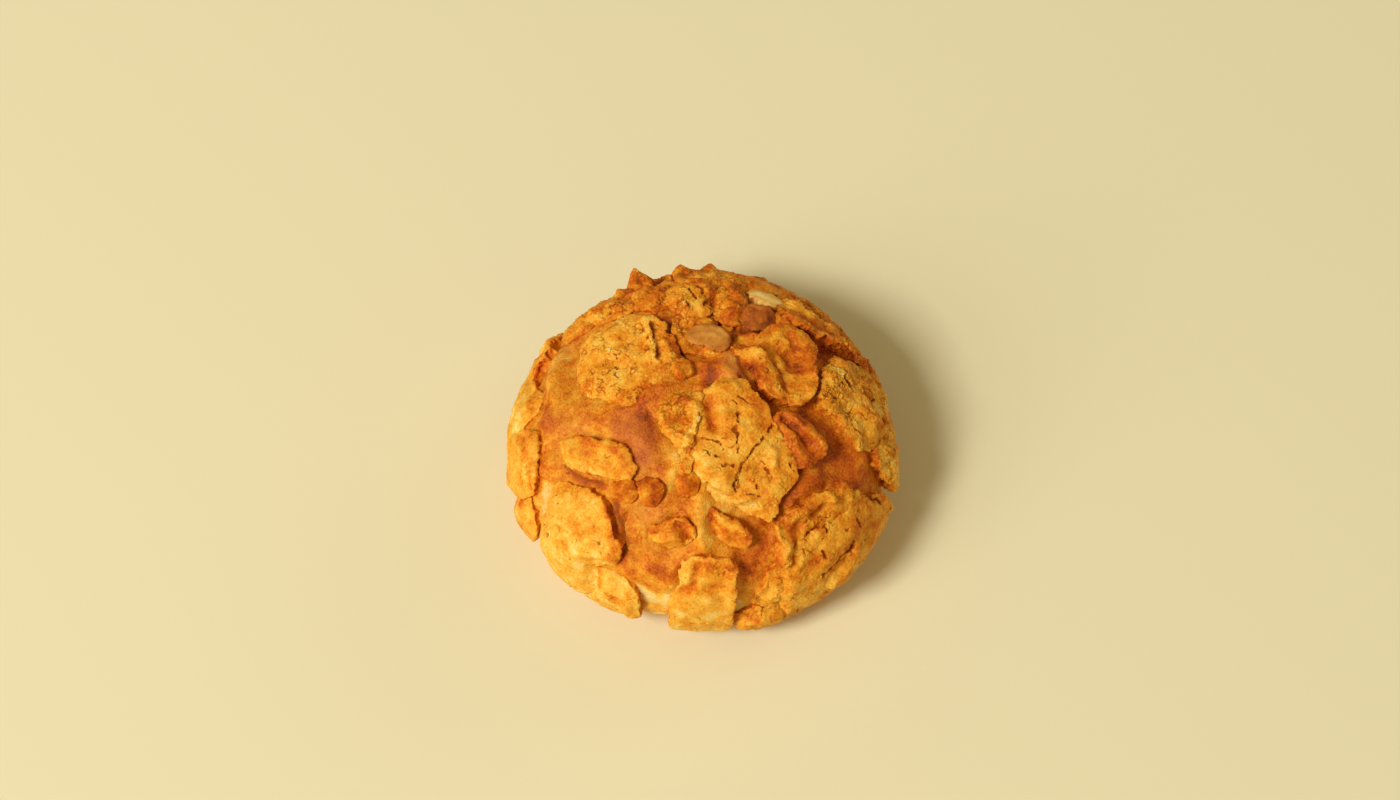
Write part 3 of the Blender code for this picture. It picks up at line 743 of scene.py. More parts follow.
            (4, 0.14, (-87, 67), (-81, 67), (-84, 74)), (3, -0.2, (-95, 68), (-95, 74)),
            (6, -0.08, (-96, 86), (-86, 86)), (2, 0.2, (-86, 99), (-84, 102)),
        ),
    ),
    "right_rim": strokes(
        crest=(
            (1.8, 2, (-61.5, 60), (-61, 66), (-62, 72)), (1.8, 1.6, (-55, 59), (-46, 59.5), (-38, 62)),
            (2, 1.2, (-38, 61.5), (-33, 64), (-32, 67)),
        ),
        swell=((2.2, -1.6, (-54, 63), (-57, 68)), (2.2, -1.2, (-47, 63), (-42, 64))),
        toast=(
            # painted highlight along the lip and painted shade in the grooves behind it
            (1.8, -0.25, (-61, 60), (-60.5, 66), (-61.5, 73)), (2, 0.2, (-56, 62), (-57, 69)),
            (1.6, 0.4, (-46, 62), (-43, 63)), (2, -0.1, (-36, 63), (-33, 66)),
        ),
    ),
    "right_plate": strokes(
        crack=(
            (1.3, 1.6, (-52, 81), (-48, 80.5), (-46, 79), (-42, 79.5), (-40, 78.5)),
            (0.9, 1.4, (-50, 73), (-50, 75.5)), (0.9, 1.4, (-45, 67), (-46, 69)),
            (0.8, 1.2, (-35, 73), (-35, 76)), (0.8, 1.2, (-57, 95), (-52, 94)),
            (1.2, 1.6, (-27, 71), (-26, 76), (-24, 79)),
        ),
        crest=((2.4, 1.8, (-50, 87), (-44, 84), (-39, 81)), (2.5, 1.4, (-22, 82), (-20, 88))),
        swell=((5, 1, (-40, 74), (-48, 76)), (3, -1, (-32, 78), (-36, 84))),
        toast=(
            (3, 0.22, (-48, 82), (-42, 80)), (6, 0.1, (-34, 76), (-30, 84)),
            (4, -0.12, (-62, 84), (-58, 90)), (3, -0.1, (-50, 70), (-44, 72)),
            (5, -0.06, (-54, 80), (-52, 90)),
        ),
    ),
    "right_crust": strokes(
        crack=(
            (0.9, 1.6, (7, 65), (5, 68), (7, 71)), (0.8, 1.4, (-10, 60), (-11, 63)),
            (0.8, 1.4, (2, 50), (0, 53)), (0.8, 1.2, (10, 56), (8, 60)),
        ),
        swell=(
            (3.5, 1.4, (10, 52), (14, 58)), (2.6, -1.6, (-4, 55), (-2, 60)), (3, 1, (-2, 66), (4, 64)),
            (3, -1.2, (6, 72), (0, 74)),
        ),
        toast=(
            (2.6, 0.22, (6, 68), (-3, 70), (2, 76)), (5, -0.1, (7, 53), (0, 57), (-8, 62)),
            (3, -0.1, (-12, 62), (-10, 68)), (3, 0.1, (12, 66), (4, 66)),
        ),
    ),
    "right_heel": strokes(toast=((5, -0.14, (-12, 80), (-8, 88)), (2, 0.2, (-10, 76), (-8, 78)))),
    "saddle_slope": strokes(
        crest=((2.8, 1.4, (38, 28), (20, 30), (6, 31), (-4, 33)),),
        swell=((2, -0.9, (30, 33), (12, 34)),),
        toast=(
            # painted highlight along the crest and painted shade in the groove below
            (2.6, -0.22, (36, 28), (20, 30), (6, 31), (-4, 33)), (2, 0.16, (30, 23), (16, 25), (4, 27)),
            (2, 0.2, (28, 34), (10, 35), (0, 36)),
        ),
    ),
    "saddle_cup": strokes(
        crest=((1.8, 1.2, (42, 42), (34, 46), (26, 47), (17, 46.5), (8, 45), (-2, 43)),),
        swell=(
            (3.2, -1.4, (26, 40), (14, 40)), (2.6, 1.4, (38, 40), (32, 41)), (2, 1.4, (10, 40)),
            (3, 1.2, (-4, 38), (0, 41)),
        ),
        crack=((0.6, 1, (27, 38), (21, 39)),),
        toast=(
            # painted shade in the hollow of the cup and painted highlight on its swells and rim
            (3.5, 0.16, (24, 42), (12, 42)), (2.4, -0.18, (38, 40), (32, 40)),
            (1.4, -0.16, (34, 47), (26, 49), (17, 48)), (3, -0.12, (-4, 38), (0, 42)),
        ),
    ),
    "back_right_ridge": strokes(
        lift=((4, 1, (44, 54), (33, 58), (27, 66)),),
        crest=((2.6, 1.4, (50, 58), (42, 60), (36, 64)),),
        swell=((3, -1.6, (32, 66), (30, 72), (26, 78)), (3, 1, (22, 74), (18, 80))),
        toast=(
            # painted shade under the lifted edge and in the groove, painted highlight along the crest
            (2.4, 0.2, (40, 54), (34, 58), (31, 64)), (4, -0.2, (50, 58), (42, 60), (36, 66)),
            (3, 0.16, (30, 72), (26, 78)),
        ),
    ),
    "back_plate": strokes(
        swell=((4, -1.4, (92, 62), (80, 63), (70, 66)),),
        crest=(
            (2.4, 2.2, (95.5, 69), (95.5, 76)), (1.8, 1.8, (86, 74), (85, 78)),
            (1.8, 1.4, (69, 72), (68, 77)),
        ),
        toast=(
            (4, -0.12, (90, 62), (78, 63)), (2, 0.25, (92, 57), (86, 60)), (2.5, 0.16, (76, 72), (62, 72)),
        ),
    ),
    "curled_crumb": strokes(
        crack=(
            (0.8, 1.6, (92, 50), (88, 47), (87, 43)), (0.8, 1.6, (96, 48), (92, 45), (91, 41)),
            (0.8, 1.4, (101, 42), (97, 41), (95, 38)), (0.8, 1.4, (86, 38), (84, 42)),
        ),
        toast=((3.5, -0.22, (98, 48), (96, 42), (90, 38)), (2, 0.2, (84, 48), (82, 44))),
    ),
    "orange_crumb": strokes(
        swell=((2, 1.2, (72, 47)), (1.8, -1.2, (76, 41), (70, 40)), (1.6, 1, (78, 51))),
        toast=((2, -0.14, (80, 50), (78, 44)), (2, 0.1, (72, 46), (68, 48))),
    ),
    "almond": strokes(
        swell=((3.2, -0.3, (88, 25), (70, 25.5)),),
        crest=((1, 0.3, (90, 24), (78, 25), (66, 25)),),
        toast=(
            (1, 0.2, (101, 27), (91, 30), (76, 31), (62, 28.5), (56, 24)), (3, -0.12, (80, 27), (72, 27)),
        ),
    ),
    "almond_bed": strokes(toast=((2.5, -0.14, (108, 30), (104, 24)), (3, 0.2, (60, 30), (56, 25)))),
    "dark_nugget": strokes(
        swell=((1.6, -1, (58, 44)), (1.4, 0.8, (62, 46)), (1.4, 0.9, (53, 46))),
        crack=((0.7, 1, (60, 41), (57, 44)),),
        toast=((1.8, -0.25, (61, 46), (55, 48)), (1.6, 0.3, (50, 44), (50, 41))),
    ),
    "pale_nut": strokes(toast=((1.4, 0.25, (66, 55.5), (60, 57.5)), (1.2, -0.3, (64, 53), (54, 54)))),
    "skin": (
        # the smooth dough bulge beside the fold, and the bared dough of the belt and the front; the
        # first two toast strokes are painted shadow that the fold's edge casts on the bulge
        *strokes(
            swell=((9, 1.6, (-46, 56), (-42, 60)), (6, 0.8, (-135, 33))),
            toast=(
                (8, 0.2, (-48, 54), (-42, 58)), (3, 0.12, (-57, 54), (-60, 57)),
                (5, -0.1, (-112, 53), (-106, 57)), (8, 0.08, (-150, 33), (-138, 33), (-126, 37)),
            ),
            rosy=(
                (7, 0.8, (-150, 33), (-138, 33), (-126, 37)), (6, 0.6, (-112, 53), (-106, 57)),
                (6, 0.4, (-172, 58), (-168, 48)),
            ),
        ),
        # raised bands of dough down the front, paler along their tops as painted highlight
        *strokes(
            swell=(
                (3.6, 1.5, (-89, 47), (-88, 51), (-88, 56), (-87.5, 60)),
                (3.5, 1.4, (-103, 30), (-104, 40)),
            ),
            toast=(
                (3.6, -0.18, (-89, 47), (-88, 51), (-88, 56), (-87.5, 60)),
                (3, -0.25, (-84, 49), (-76, 51.5), (-69, 53.5)), (3.5, -0.28, (-103, 28), (-104, 42)),
            ),
        ),
        # the deep valleys, where the dough has not puffed up; their toast is painted shade, in the channel
        # and under the cup's edge
        *strokes(
            flat=(
                (7, 1, (46, 48), (36, 51), (26, 54), (22, 60), (20, 66)),
                (4, 1, (20, 52), (14, 47), (6, 46), (-2, 46)),
                (9, 0.8, (-12, 40), (-16, 46), (-18, 54), (-24, 60)),
                (6, 0.9, (-66, 60), (-70, 64), (-73, 72)), (5, 0.9, (-72, 56), (-66, 60)),
            ),
            toast=(
                (5, 0.3, (40, 50), (28, 54), (24, 62)), (3, 0.2, (18, 50), (10, 46), (0, 45.5), (-8, 44)),
            ),
        ),
        # dark valleys on the right and in front, browner and also darkened as painted shade, as beside the
        # apron
        *strokes(
            toast=(
                (11, 0.08, (-14, 36), (-16, 46), (-22, 54)), (9, 0.08, (-22, 54), (-26, 62), (-28, 68)),
                (7, 0.1, (-66, 62), (-68, 70)), (7, 0.16, (-106, 70), (-99, 73)),
                (4, 0.16, (-76, 66), (-74, 74)),
            ),
        ),
        # around the crown; the toast along the cracks is painted shade in the gaps under the crust's edges,
        # and the first toast stroke painted shade in the dip at the top
        *strokes(
            swell=(
                (5, -1.8, (20, 5), (-30, 4)), (4, 1.4, (45, 20), (30, 16), (15, 17)),
                (3.5, 1.5, (130, 14), (150, 18)), (5, 2, (-165, 20), (-150, 18), (160, 12)),
            ),
            toast=(
                (5, 0.24, (60, 12), (40, 6), (-20, 5)),
                (2, 0.3, (111, 37), (109, 28), (113, 20), (120, 14)),
                (4, -0.18, (44, 22), (36, 19), (22, 18)),
                (2.6, 0.4, (16, 19), (5, 20), (-6, 25), (-16, 28), (-24, 33)),
                (3, 0.22, (-164, 24), (-150, 27), (-130, 29)), (2.6, 0.6, (58, 36), (52, 38), (47, 39)),
            ),
            crack=(
                (2, 1.6, (111, 37), (109, 28), (113, 20), (120, 14)),
                (1.8, 1.6, (16, 19), (5, 20), (-6, 25), (-16, 28), (-24, 33)),
                (2.2, 1.6, (58, 37), (52, 39), (46, 40)),
            ),
            rosy=((5, 1, (44, 22), (36, 19), (22, 18)),),
            crumb=((5, 0.8, (130, 12), (150, 20), (-175, 24), (-150, 22)),),
        ),
        # where the crust and the dough run into each other; the toast along the two cracks is painted shade
        # in the gaps under the edges of the plates
        *strokes(
            swell=(
                (6, 1.2, (-168, 36), (-175, 46), (174, 58), (160, 66)),
                (7, 1.2, (-152, 78), (-140, 88), (-122, 90)), (4, 1.2, (-167, 56), (-158, 62)),
                (4, 1.2, (-110, 61), (-105, 65)), (3.5, 1, (-98, 74), (-99, 84)),
            ),
            crumb=((6, 0.4, (-165, 34), (-172, 44), (176, 56)),),
            toast=(
                (4, 0.16, (176, 66), (-176, 62), (-172, 58)), (5, -0.12, (150, 62), (162, 64)),
                (2.2, 0.36, (-152, 61), (-143, 57.5), (-134, 53.5)),
                (2, 0.25, (-127, 55), (-120, 60), (-116, 67), (-115, 73)),
            ),
            rosy=((5, 0.5, (150, 64), (162, 66)),),
            crack=(
                (1.6, 1, (-153, 60), (-143, 57), (-136, 54)),
                (1.6, 0.8, (-126, 56), (-119, 62), (-116, 70)),
            ),
        ),
        # cream dough that the oven hardly reached; the first stroke, on the left, is also a painted
        # highlight
        *strokes(
            toast=(
                (3, -0.45, (-152, 70), (-149, 75), (-146, 79)),
                (5.5, -0.55, (-108, 84), (-103, 84.5), (-98, 85)), (4, -0.45, (-78, 86), (-75, 90)),
                (4, -0.2, (-106, 76), (-98, 78)),
            ),
        ),
    ),
}


# ---------------------------------------------------------------- the work of the strokes


def near_stroke(ground, stroke):
    """1 on a stroke's line, 0 at its width and beyond."""
    return 1 - np.clip(distance_to(ground, stroke.path) / stroke.width, 0, 1)


def strokes_of(node, *kinds):
    return [stroke for stroke in STROKES.get(node, ()) if stroke.kind in kinds]


def covered(node, kind, ground, full):
    """How far each point is under a piece's strokes of a kind, which work fully from there on."""
    share = np.zeros(len(ground))
    for stroke in strokes_of(node, kind):
        share = np.maximum(share, stroke.amount * ease(near_stroke(ground, stroke), 0, full))
    return share


def shape_by_strokes(node, points, ways, skin, top):
    """The points after the strokes that shape a piece."""
    ground = drift(ways * skin[:, None], 3.0, 1.0, 12.0)
    for stroke in strokes_of(node, "swell", "crest", "lift"):
        near = near_stroke(ground, stroke)
        soft = near * near * (3 - 2 * near)
        if stroke.kind == "swell":
            change = stroke.amount * soft * top
        elif stroke.kind == "crest":
            change = stroke.amount * near * top
        else:
            change = stroke.amount * soft
        points = points + ways * change[:, None]
    return points


def cut_by_strokes(node, ground):
    """How deep the cracks of a piece are at each point, in mm, and how dark their painted shade is."""
    depth, dark = np.zeros(len(ground)), np.zeros(len(ground))
    cracks = strokes_of(node, "crack")
    if cracks:
        wander = drift(drift(ground, 2.4, 0.5, 8.0), 0.9, 0.4)
        uneven = 1 + 0.3 * wave(ground, 1.3, 15.0)
    for stroke in cracks:
        near = near_stroke(wander, stroke) * uneven
        depth = np.maximum(depth, CRACK_DEPTH * stroke.amount * ease(near, CRACK_EDGE, 1))
        dark = np.maximum(dark, ease(near, CRACK_EDGE, 0.9))
    return depth, dark


def finer_at_cracks(node, data):
    """The mesh with smaller faces along the cracks, so that they are cut sharply."""
    cracks = strokes_of(node, "crack")
    if not cracks:
        return data
    _, _, _, ground = on_dough(points_of(data))
    near = np.zeros(len(ground), bool)
    for stroke in cracks:
        near |= distance_to(ground, stroke.path) < stroke.width + 0.5
    shape = bmesh.new()
    shape.from_mesh(data)
    edges = [edge for edge in shape.edges if all(near[vert.index] for vert in edge.verts)]
    bmesh.ops.subdivide_edges(shape, edges=edges, cuts=1, use_grid_fill=True)
    shape.to_mesh(data)
    shape.free()
    return data


def toast_by_strokes(node, ground):
    """How much the strokes brown each point."""
    toast = np.zeros(len(ground))
    wander = drift(ground, 3.0, 1.2, 12.0)
    for stroke in strokes_of(node, "toast"):
        toast += stroke.amount * ease(near_stroke(wander, stroke), 0, 0.9)
    return toast


def browning_at(ground):
    """How much browner than usual the oven makes each place on the bun, crust and skin alike."""
    tilt = tilt_of(ground / np.linalg.norm(ground, axis=1)[:, None])
    return 0.08 * wave(ground, 9.0, 31.0) - 0.10 * ease(tilt, 60, 95)


# ---------------------------------------------------------------- crust


class Layout:
    """Where a planned piece lies: a flat sheet that touches the dough in its middle."""

    def __init__(self, node):
        self.plan = PLANS[node]
        corners = np.array(self.plan.corners, float)
        outline = places(corners[:, :2])
        out = outline.mean(axis=0)
        self.out = out / np.linalg.norm(out)
        self.middle = self.out * reach_of(self.out[None])[0]
        level = np.cross((0, 0, 1), self.out)
        self.along = level / np.linalg.norm(level)
        self.across = np.cross(self.out, self.along)
        self.corners = self.flat(outline)
        self.rims = corners[:, 2]

    def flat(self, ways):
        """Where on the sheet the lines through those points meet it."""
        far = (self.middle @ self.out) / np.maximum(ways @ self.out, 1e-3)
        offset = ways * far[:, None] - self.middle
        return np.stack((offset @ self.along, offset @ self.across), 1)

    def ways(self, flat):
        """The unit vectors through points on the sheet."""
        points = self.middle + flat[:, :1] * self.along + flat[:, 1:] * self.across
        return points / np.linalg.norm(points, axis=1)[:, None]

    def edge(self, flat):
        """For points on the sheet: how far the outline is, how high the rim stands there, and
        the direction away from the outline."""
        away = np.full(len(flat), 1e9)
        weights, rims = np.zeros(len(flat)), np.zeros(len(flat))
        inward = np.zeros_like(flat)
        for number, start in enumerate(self.corners):
            after = (number + 1) % len(self.corners)
            run = self.corners[after] - start
            along = np.clip((flat - start) @ run / (run @ run), 0, 1)
            offset = flat - start - along[:, None] * run
            distance = np.linalg.norm(offset, axis=1)
            weight = 1 / (distance + 0.3) ** 4
            rims += weight * (self.rims[number] * (1 - along) + self.rims[after] * along)
            weights += weight
            closer = distance < away
            inward[closer] = offset[closer] / np.maximum(distance[closer], 1e-6)[:, None]
            away = np.minimum(away, distance)
        return away, rims / weights, inward


def slab(node, look, seed):
    """A planned piece: cut from a flat sheet along its outline and laid on the dough."""
    layout = Layout(node)
    shape = bmesh.new()
    corners = [shape.verts.new((*(corner * MM), 0)) for corner in layout.corners]
    face = shape.faces.new(corners)
    raised = bmesh.ops.extrude_face_region(shape, geom=[face])["geom"]
    raised = [item for item in raised if isinstance(item, bmesh.types.BMVert)]
    bmesh.ops.translate(shape, verts=raised, vec=(0, 0, SLAB * MM))
    bmesh.ops.recalc_face_normals(shape, faces=shape.faces)
    data = refined(mesh_from(shape, node), ROUGH_GRAIN)

    sheet = vectors(data.vertices, "co") / MM
    flat, share = sheet[:, :2], np.clip(sheet[:, 2] / SLAB, 0, 1)
    away, rim, inward = layout.edge(flat)
    run = RIM_WIDTH * (1 + LOW_RIM_WIDTH * (1 - ease(rim, 0.4, 2.6)))
    height = rim + (layout.plan.thick - rim) * ease(away / run, 0, 1)
    around = np.concatenate((flat, np.full((len(flat), 1), seed)), axis=1)
    shift = drift(around, 3.4, 1.3 * look.ragged, seed) - around
    shift = shift + drift(around, 1.6, 0.5 * look.ragged) - around
    lean = LEAN * height * share * (1 - ease(away, 0, 2.5))
    flat = flat + shift[:, :2] - inward * lean[:, None]
    ways = layout.ways(flat)
    set_points(data, ways * (reach_of(ways) - SINK + share * (height + SINK))[:, None])
    return data


def roughed_out(node, look, seed):
    """A crust piece with its broken outline, its swells and the strokes that shape it."""
    if node in PLANS:
        data = slab(node, look, seed)
    else:
        data = refined(merged_copy(node), ROUGH_GRAIN, rounds=1)
    points, normals = points_of(data), normals_of(data)
    reach, ways, skin, ground = on_dough(points)
    facing = np.einsum("ij,ij->i", normals, ways)
    side = normals - facing[:, None] * ways
    _, _, chip = cells(drift(ground, 2.0, 0.6, seed), CHIP, seed)
    broken = 0.8 * chip + 0.45 * wave(ground, 1.5, seed + 2) + 0.3 * wave(points, 1.6, seed + 4)
    out = look.ragged * broken * (0.5 if node in PLANS else 1)
    swell = wave(points, LUMP, seed + 7) + 0.5 * wave(points, SMALL_LUMP, seed + 8)
    height = reach - skin
    top = ease(facing, -0.1, 0.7)
    points = points + side * out[:, None]
    rise = look.lumps * swell * top * ease(height, 0, 2)
    if node not in PLANS:
        rise -= SINK * (1 - ease(height, 0.4, 2.4))
    points = points + ways * rise[:, None]
    set_points(data, shape_by_strokes(node, points, ways, skin, top))
    return data


def crust_relief(points, look, seed):
    """Crumb on a crust piece: its rise in mm, and its crevices' browning and painted shade."""
    bent = drift(points, 2.2, 0.9, seed)
    near, second, block = cells(bent, CRUMB, seed)
    rim = 1 - ease(second - near, 0.02, 0.16)
    open_rim = rim * ease(wave(points, 3.0, seed + 6), 0.0, 0.4)
    small_near, small_second, small_block = cells(bent, GRANULE, seed + 11)
    granule = 0.45 - small_near + 0.5 * small_block
    patchy = ease(wave(points, PATCH, seed + 3), -0.35, 0.35)
    rough = look.crumb * (0.35 + 0.65 * patchy)
    crease = 1 - ease(small_second - small_near, 0, 0.14)
    rise = rough * (0.5 * block + 0.8 * granule - 0.45 * crease) - 0.8 * open_rim * rough
    split = 1 - ease(np.abs(wave(bent, SPLIT, seed + 17)), 0.01, 0.08)
    split *= ease(wave(points, 2.0, seed + 21), 0.62 - 0.5 * look.pits, 0.85 - 0.5 * look.pits)
    rise -= 0.5 * split
    # splits, the rims of the crumb and low places get browning and painted shade
    crevice = np.maximum(0.9 * split, 0.8 * open_rim * ease(rough, 0.05, 0.4))
    crevice = np.maximum(crevice, 0.5 * ease(-rise, 0.15, 0.5))
    return rise, np.clip(crevice, 0, 1)


def crust(node, look, seed):
    """A sculpted crust piece's mesh, with its crumb, its cracks and its browning."""
    data = roughed_out(node, look, seed)
    data = finer_at_cracks(node, refined(data, FINE_GRAIN if node in PLANS else PLAIN_GRAIN))
    points, normals = points_of(data), normals_of(data)
    reach, ways, skin, ground = on_dough(points)
    open_air = ease(reach - skin, -0.4, 0.6)
    rise, crevice = crust_relief(points, look, seed)
    depth, dark = cut_by_strokes(node, ground)
    points = points + normals * ((rise * (1 - dark) - depth) * open_air)[:, None]
    set_points(data, points)
    facing = np.einsum("ij,ij->i", normals, ways)
    toast = browning_at(ground) + look.toast + toast_by_strokes(node, ground)
    toast += EDGE_TOAST * (1 - ease(facing, 0.1, 0.8)) * (node in PLANS and node not in NUTS)
    # low crumb browner and high crumb paler: painted shade and painted highlight, with browning
    toast += 0.12 * wave(points, 3.2, seed + 22) - HOLLOW_BROWN_AND_SHADE * np.clip(rise, -0.4, 0.4)
    toast = np.maximum(toast, PALEST)
    # the cracks' painted shade is added to the crevices' browning and painted shade
    keep_values(data, toast=toast, crevice=np.maximum(crevice, dark), rosy=0 * toast)
    return data


def loose_crumbs():
    """Small crumbs that have baked on along the broken edges of the crust."""
    chance = random.Random("crumbs")
    crusts = [bpy.data.objects[node + "_baked"].data for node in sorted(PLANS) if node not in NUTS]
    edges = []
    while len(edges) < CRUMBS:
        vert = chance.choice(chance.choice(crusts).vertices)
        out = (vert.co - WAIST_MIDDLE).normalized()
        if vert.co.z > CRUMBS_ABOVE and CRUMB_SLOPES[0] < vert.normal.dot(out) < CRUMB_SLOPES[1]:
            edges.append((vert.co.copy(), vert.normal.copy()))
    shape = bmesh.new()
    for number, (place, normal) in enumerate(edges):
        size = CRUMB_SIZES[0] + (CRUMB_SIZES[1] - CRUMB_SIZES[0]) * chance.random() ** 2
        made = bmesh.ops.create_icosphere(shape, subdivisions=2, radius=size * MM)["verts"]
        stretch = Vector((chance.uniform(0.7, 1.3), chance.uniform(0.7, 1.3), chance.uniform(0.6, 1.0)))
        middle = place - normal * chance.uniform(0.2, 1.2) * size * MM
        for vert in made:
            uneven = 1 + 0.7 * noise.noise(vert.co / (0.9 * MM) + Vector((number, 0, 0)))
            vert.co = vert.co * stretch * uneven
            vert.co += middle
    data = mesh_from(shape, "crumbs")
    points = points_of(data)
    _, _, _, ground = on_dough(points)
    _, _, value = cells(points, 2.0)
    toast = LOOSE_TOAST + 0.2 * value + browning_at(ground)
    keep_values(data, toast=toast, crevice=0 * toast, rosy=0 * toast)
    set_points(data, points)
    return data


# ---------------------------------------------------------------- dough


def solid_crust():
    """All the solids but the bun, to find how near the crust is."""
    solids = bmesh.new()
    for node in frame["nodes"]:
        if node != "bun":
            solids.from_mesh(frame["nodes"][node].data)
    tree = BVHTree.FromBMesh(solids)
    solids.free()
    return tree


def bun_skin(crust_tree):
    """The skin: puffed up between the crust pieces, pale at the waist and brown on the crown."""
    data = refined(merged_copy("bun"), SKIN_GRAIN)
    _, ways, skin, ground = on_dough(points_of(data))
    metres = ((ground + WAIST) * MM).tolist()
    clear = np.array([crust_tree.find_nearest(row)[3] for row in metres]) / MM
    tilt = tilt_of(ways)
    level = ground[:, 2] + WAIST_HEIGHT
    puff = PUFF * ease(clear, 0.5, 1.2) + OPEN_PUFF * ease(clear, 0.8, 4.5)
    puff *= 1 - 0.85 * ease(tilt, 62, 84)
    for stroke in strokes_of("skin", "flat"):
        puff *= 1 - stroke.amount * ease(near_stroke(ground, stroke), 0, 0.6)
    rise = puff + 0.45 * wave(ground, 4.2) + 0.2 * wave(ground, 1.8, 4)
    rise *= ease(level, 0.5, 5)
    points = ground + ways * rise[:, None]
    points = shape_by_strokes("skin", points, ways, skin, np.ones(len(points)))
    crumb = covered("skin", "crumb", ground, 0.7)
    relief, crevice = crust_relief(points, CRUMBLY, SKIN_SEED)
    depth, dark = cut_by_strokes("skin", ground)
    set_points(data, points + ways * (relief * crumb - depth)[:, None])
    toast = SKIN_TOAST + OPEN_TOAST * ease(clear, 1, 5) + 0.06 * wave(ground, 2.2, 3) + browning_at(ground)
    # on crumbly skin too, low places are browner and high ones paler: painted shade and highlight, with
    # browning
    toast -= UNDER_PALE * ease(tilt, 86, 97) + HOLLOW_BROWN_AND_SHADE * crumb * np.clip(relief, -0.4, 0.4)
    toast += FOOT_TOAST * (1 - ease(level, 0.2, 2.5)) + toast_by_strokes("skin", ground)
    rosy = covered("skin", "rosy", ground, 0.8)
    # the skin is darkened right beside the crust: painted shade where the pieces meet it
    crevice = np.maximum(crevice * crumb, 0.2 * (1 - ease(clear, 0.6, 1.8)) * (1 - crumb))
    # the cracks in the skin get painted shade too
    keep_values(data, toast=toast, crevice=np.maximum(crevice, dark), rosy=rosy * (1 - crumb))
    return flat_foot(data)


def flat_foot(data):
    """The mesh with the many small faces of its flat foot joined into one."""
    shape = bmesh.new()
    shape.from_mesh(data)
    top = FOOT_LEVEL * MM
    foot = [face for face in shape.faces if all(vert.co.z < top for vert in face.verts)]
    bmesh.ops.dissolve_faces(shape, faces=foot)
    shape.to_mesh(data)
    shape.free()
    return data


# ---------------------------------------------------------------- materials


def colour_ramp(tree, stops):
    ramp = tree.nodes.new("ShaderNodeValToRGB")
    elements = ramp.color_ramp.elements
    while len(elements) < len(stops):
        elements.new(0.5)
    for element, (place, colour) in zip(elements, stops):
        element.position = place
        element.color = (*colour, 1)
    return ramp


def attribute(tree, name):
    node = tree.nodes.new("ShaderNodeAttribute")
    node.attribute_name = name
    return node.outputs["Fac"]


def maths(tree, kind, *values):
    node = tree.nodes.new("ShaderNodeMath")
    node.operation = kind
    for socket, value in zip(node.inputs, values):
        if isinstance(value, (int, float)):
            socket.default_value = value
        else:
            tree.links.new(value, socket)
    return node.outputs[0]


def mixed(tree, factor, first, second):
    """Two colours mixed: the second may be a colour, the others are sockets."""
    node = tree.nodes.new("ShaderNodeMix")
    node.data_type = "RGBA"
    tree.links.new(factor, node.inputs[0])
    tree.links.new(first, node.inputs[6])
    node.inputs[7].default_value = (*second, 1)
    return node.outputs[2]


def grain_noise(tree, place, size, detail=3.0, roughness=0.6):
    """A noise in object space whose lumps are about that many mm."""
    node = tree.nodes.new("ShaderNodeTexNoise")
    node.inputs["Scale"].default_value = 1 / (size * MM)
    node.inputs["Detail"].default_value = detail
    node.inputs["Roughness"].default_value = roughness
    tree.links.new(place, node.inputs["Vector"])
    return node.outputs["Fac"]


def new_group(name, inputs, outputs):
    """An empty node group: the group, its inputs, its outputs' sockets and Object coordinates."""
    group = bpy.data.node_groups.new(name, "ShaderNodeTree")
    for way, names in (("INPUT", inputs), ("OUTPUT", outputs)):
        for socket in names:
            group.interface.new_socket(socket, in_out=way, socket_type="NodeSocketFloat")
    entry = group.nodes.new("NodeGroupInput").outputs
    result = group.nodes.new("NodeGroupOutput").inputs
    place = group.nodes.new("ShaderNodeTexCoord").outputs["Object"]
    return group, entry, result, place


def oven_group():
    """The browning that all the baked surfaces share: blotches, speckles and a fine grain."""
    group, entry, result, place = new_group(
        "oven_grain", ("Browning", "Speckle"), ("Browned", "Height", "Sheen")
    )
    speck = grain_noise(group, place, 0.7)
    fine = grain_noise(group, place, 0.35)
    browned = entry["Browning"]
    blotch, patch = grain_noise(group, place, 4.0), grain_noise(group, place, 1.8)
    for uneven, amount in ((speck, entry["Speckle"]), (blotch, 0.7), (patch, 0.5)):
        off_middle = maths(group, "SUBTRACT", uneven, 0.5)
        browned = maths(group, "MULTIPLY_ADD", off_middle, amount, browned)
    group.links.new(browned, result["Browned"])
    group.links.new(maths(group, "MULTIPLY_ADD", speck, 0.6, fine), result["Height"])
    group.links.new(maths(group, "MULTIPLY_ADD", fine, 0.4, 0.4), result["Sheen"])
    return group


def pebble_group():
    """The fine pebbled skin that moist dough bakes to."""
    group, entry, result, place = new_group("pebbled_skin", ("Size",), ("Height",))
    bend = group.nodes.new("ShaderNodeTexNoise")
    bend.inputs["Scale"].default_value = 1 / (0.8 * MM)
    group.links.new(place, bend.inputs["Vector"])
    bent = group.nodes.new("ShaderNodeVectorMath")
    bent.operation = "MULTIPLY_ADD"
    bent.inputs[1].default_value = (0.25 * MM,) * 3
    group.links.new(bend.outputs["Color"], bent.inputs[0])
    group.links.new(place, bent.inputs[2])
    grains = group.nodes.new("ShaderNodeTexVoronoi")
    grains.feature = "SMOOTH_F1"
    grains.inputs["Smoothness"].default_value = 0.2
    group.links.new(maths(group, "DIVIDE", 1 / MM, entry["Size"]), grains.inputs["Scale"])
    group.links.new(bent.outputs[0], grains.inputs["Vector"])
    group.links.new(maths(group, "SUBTRACT", 1.0, grains.outputs["Distance"]), result["Height"])
    return group


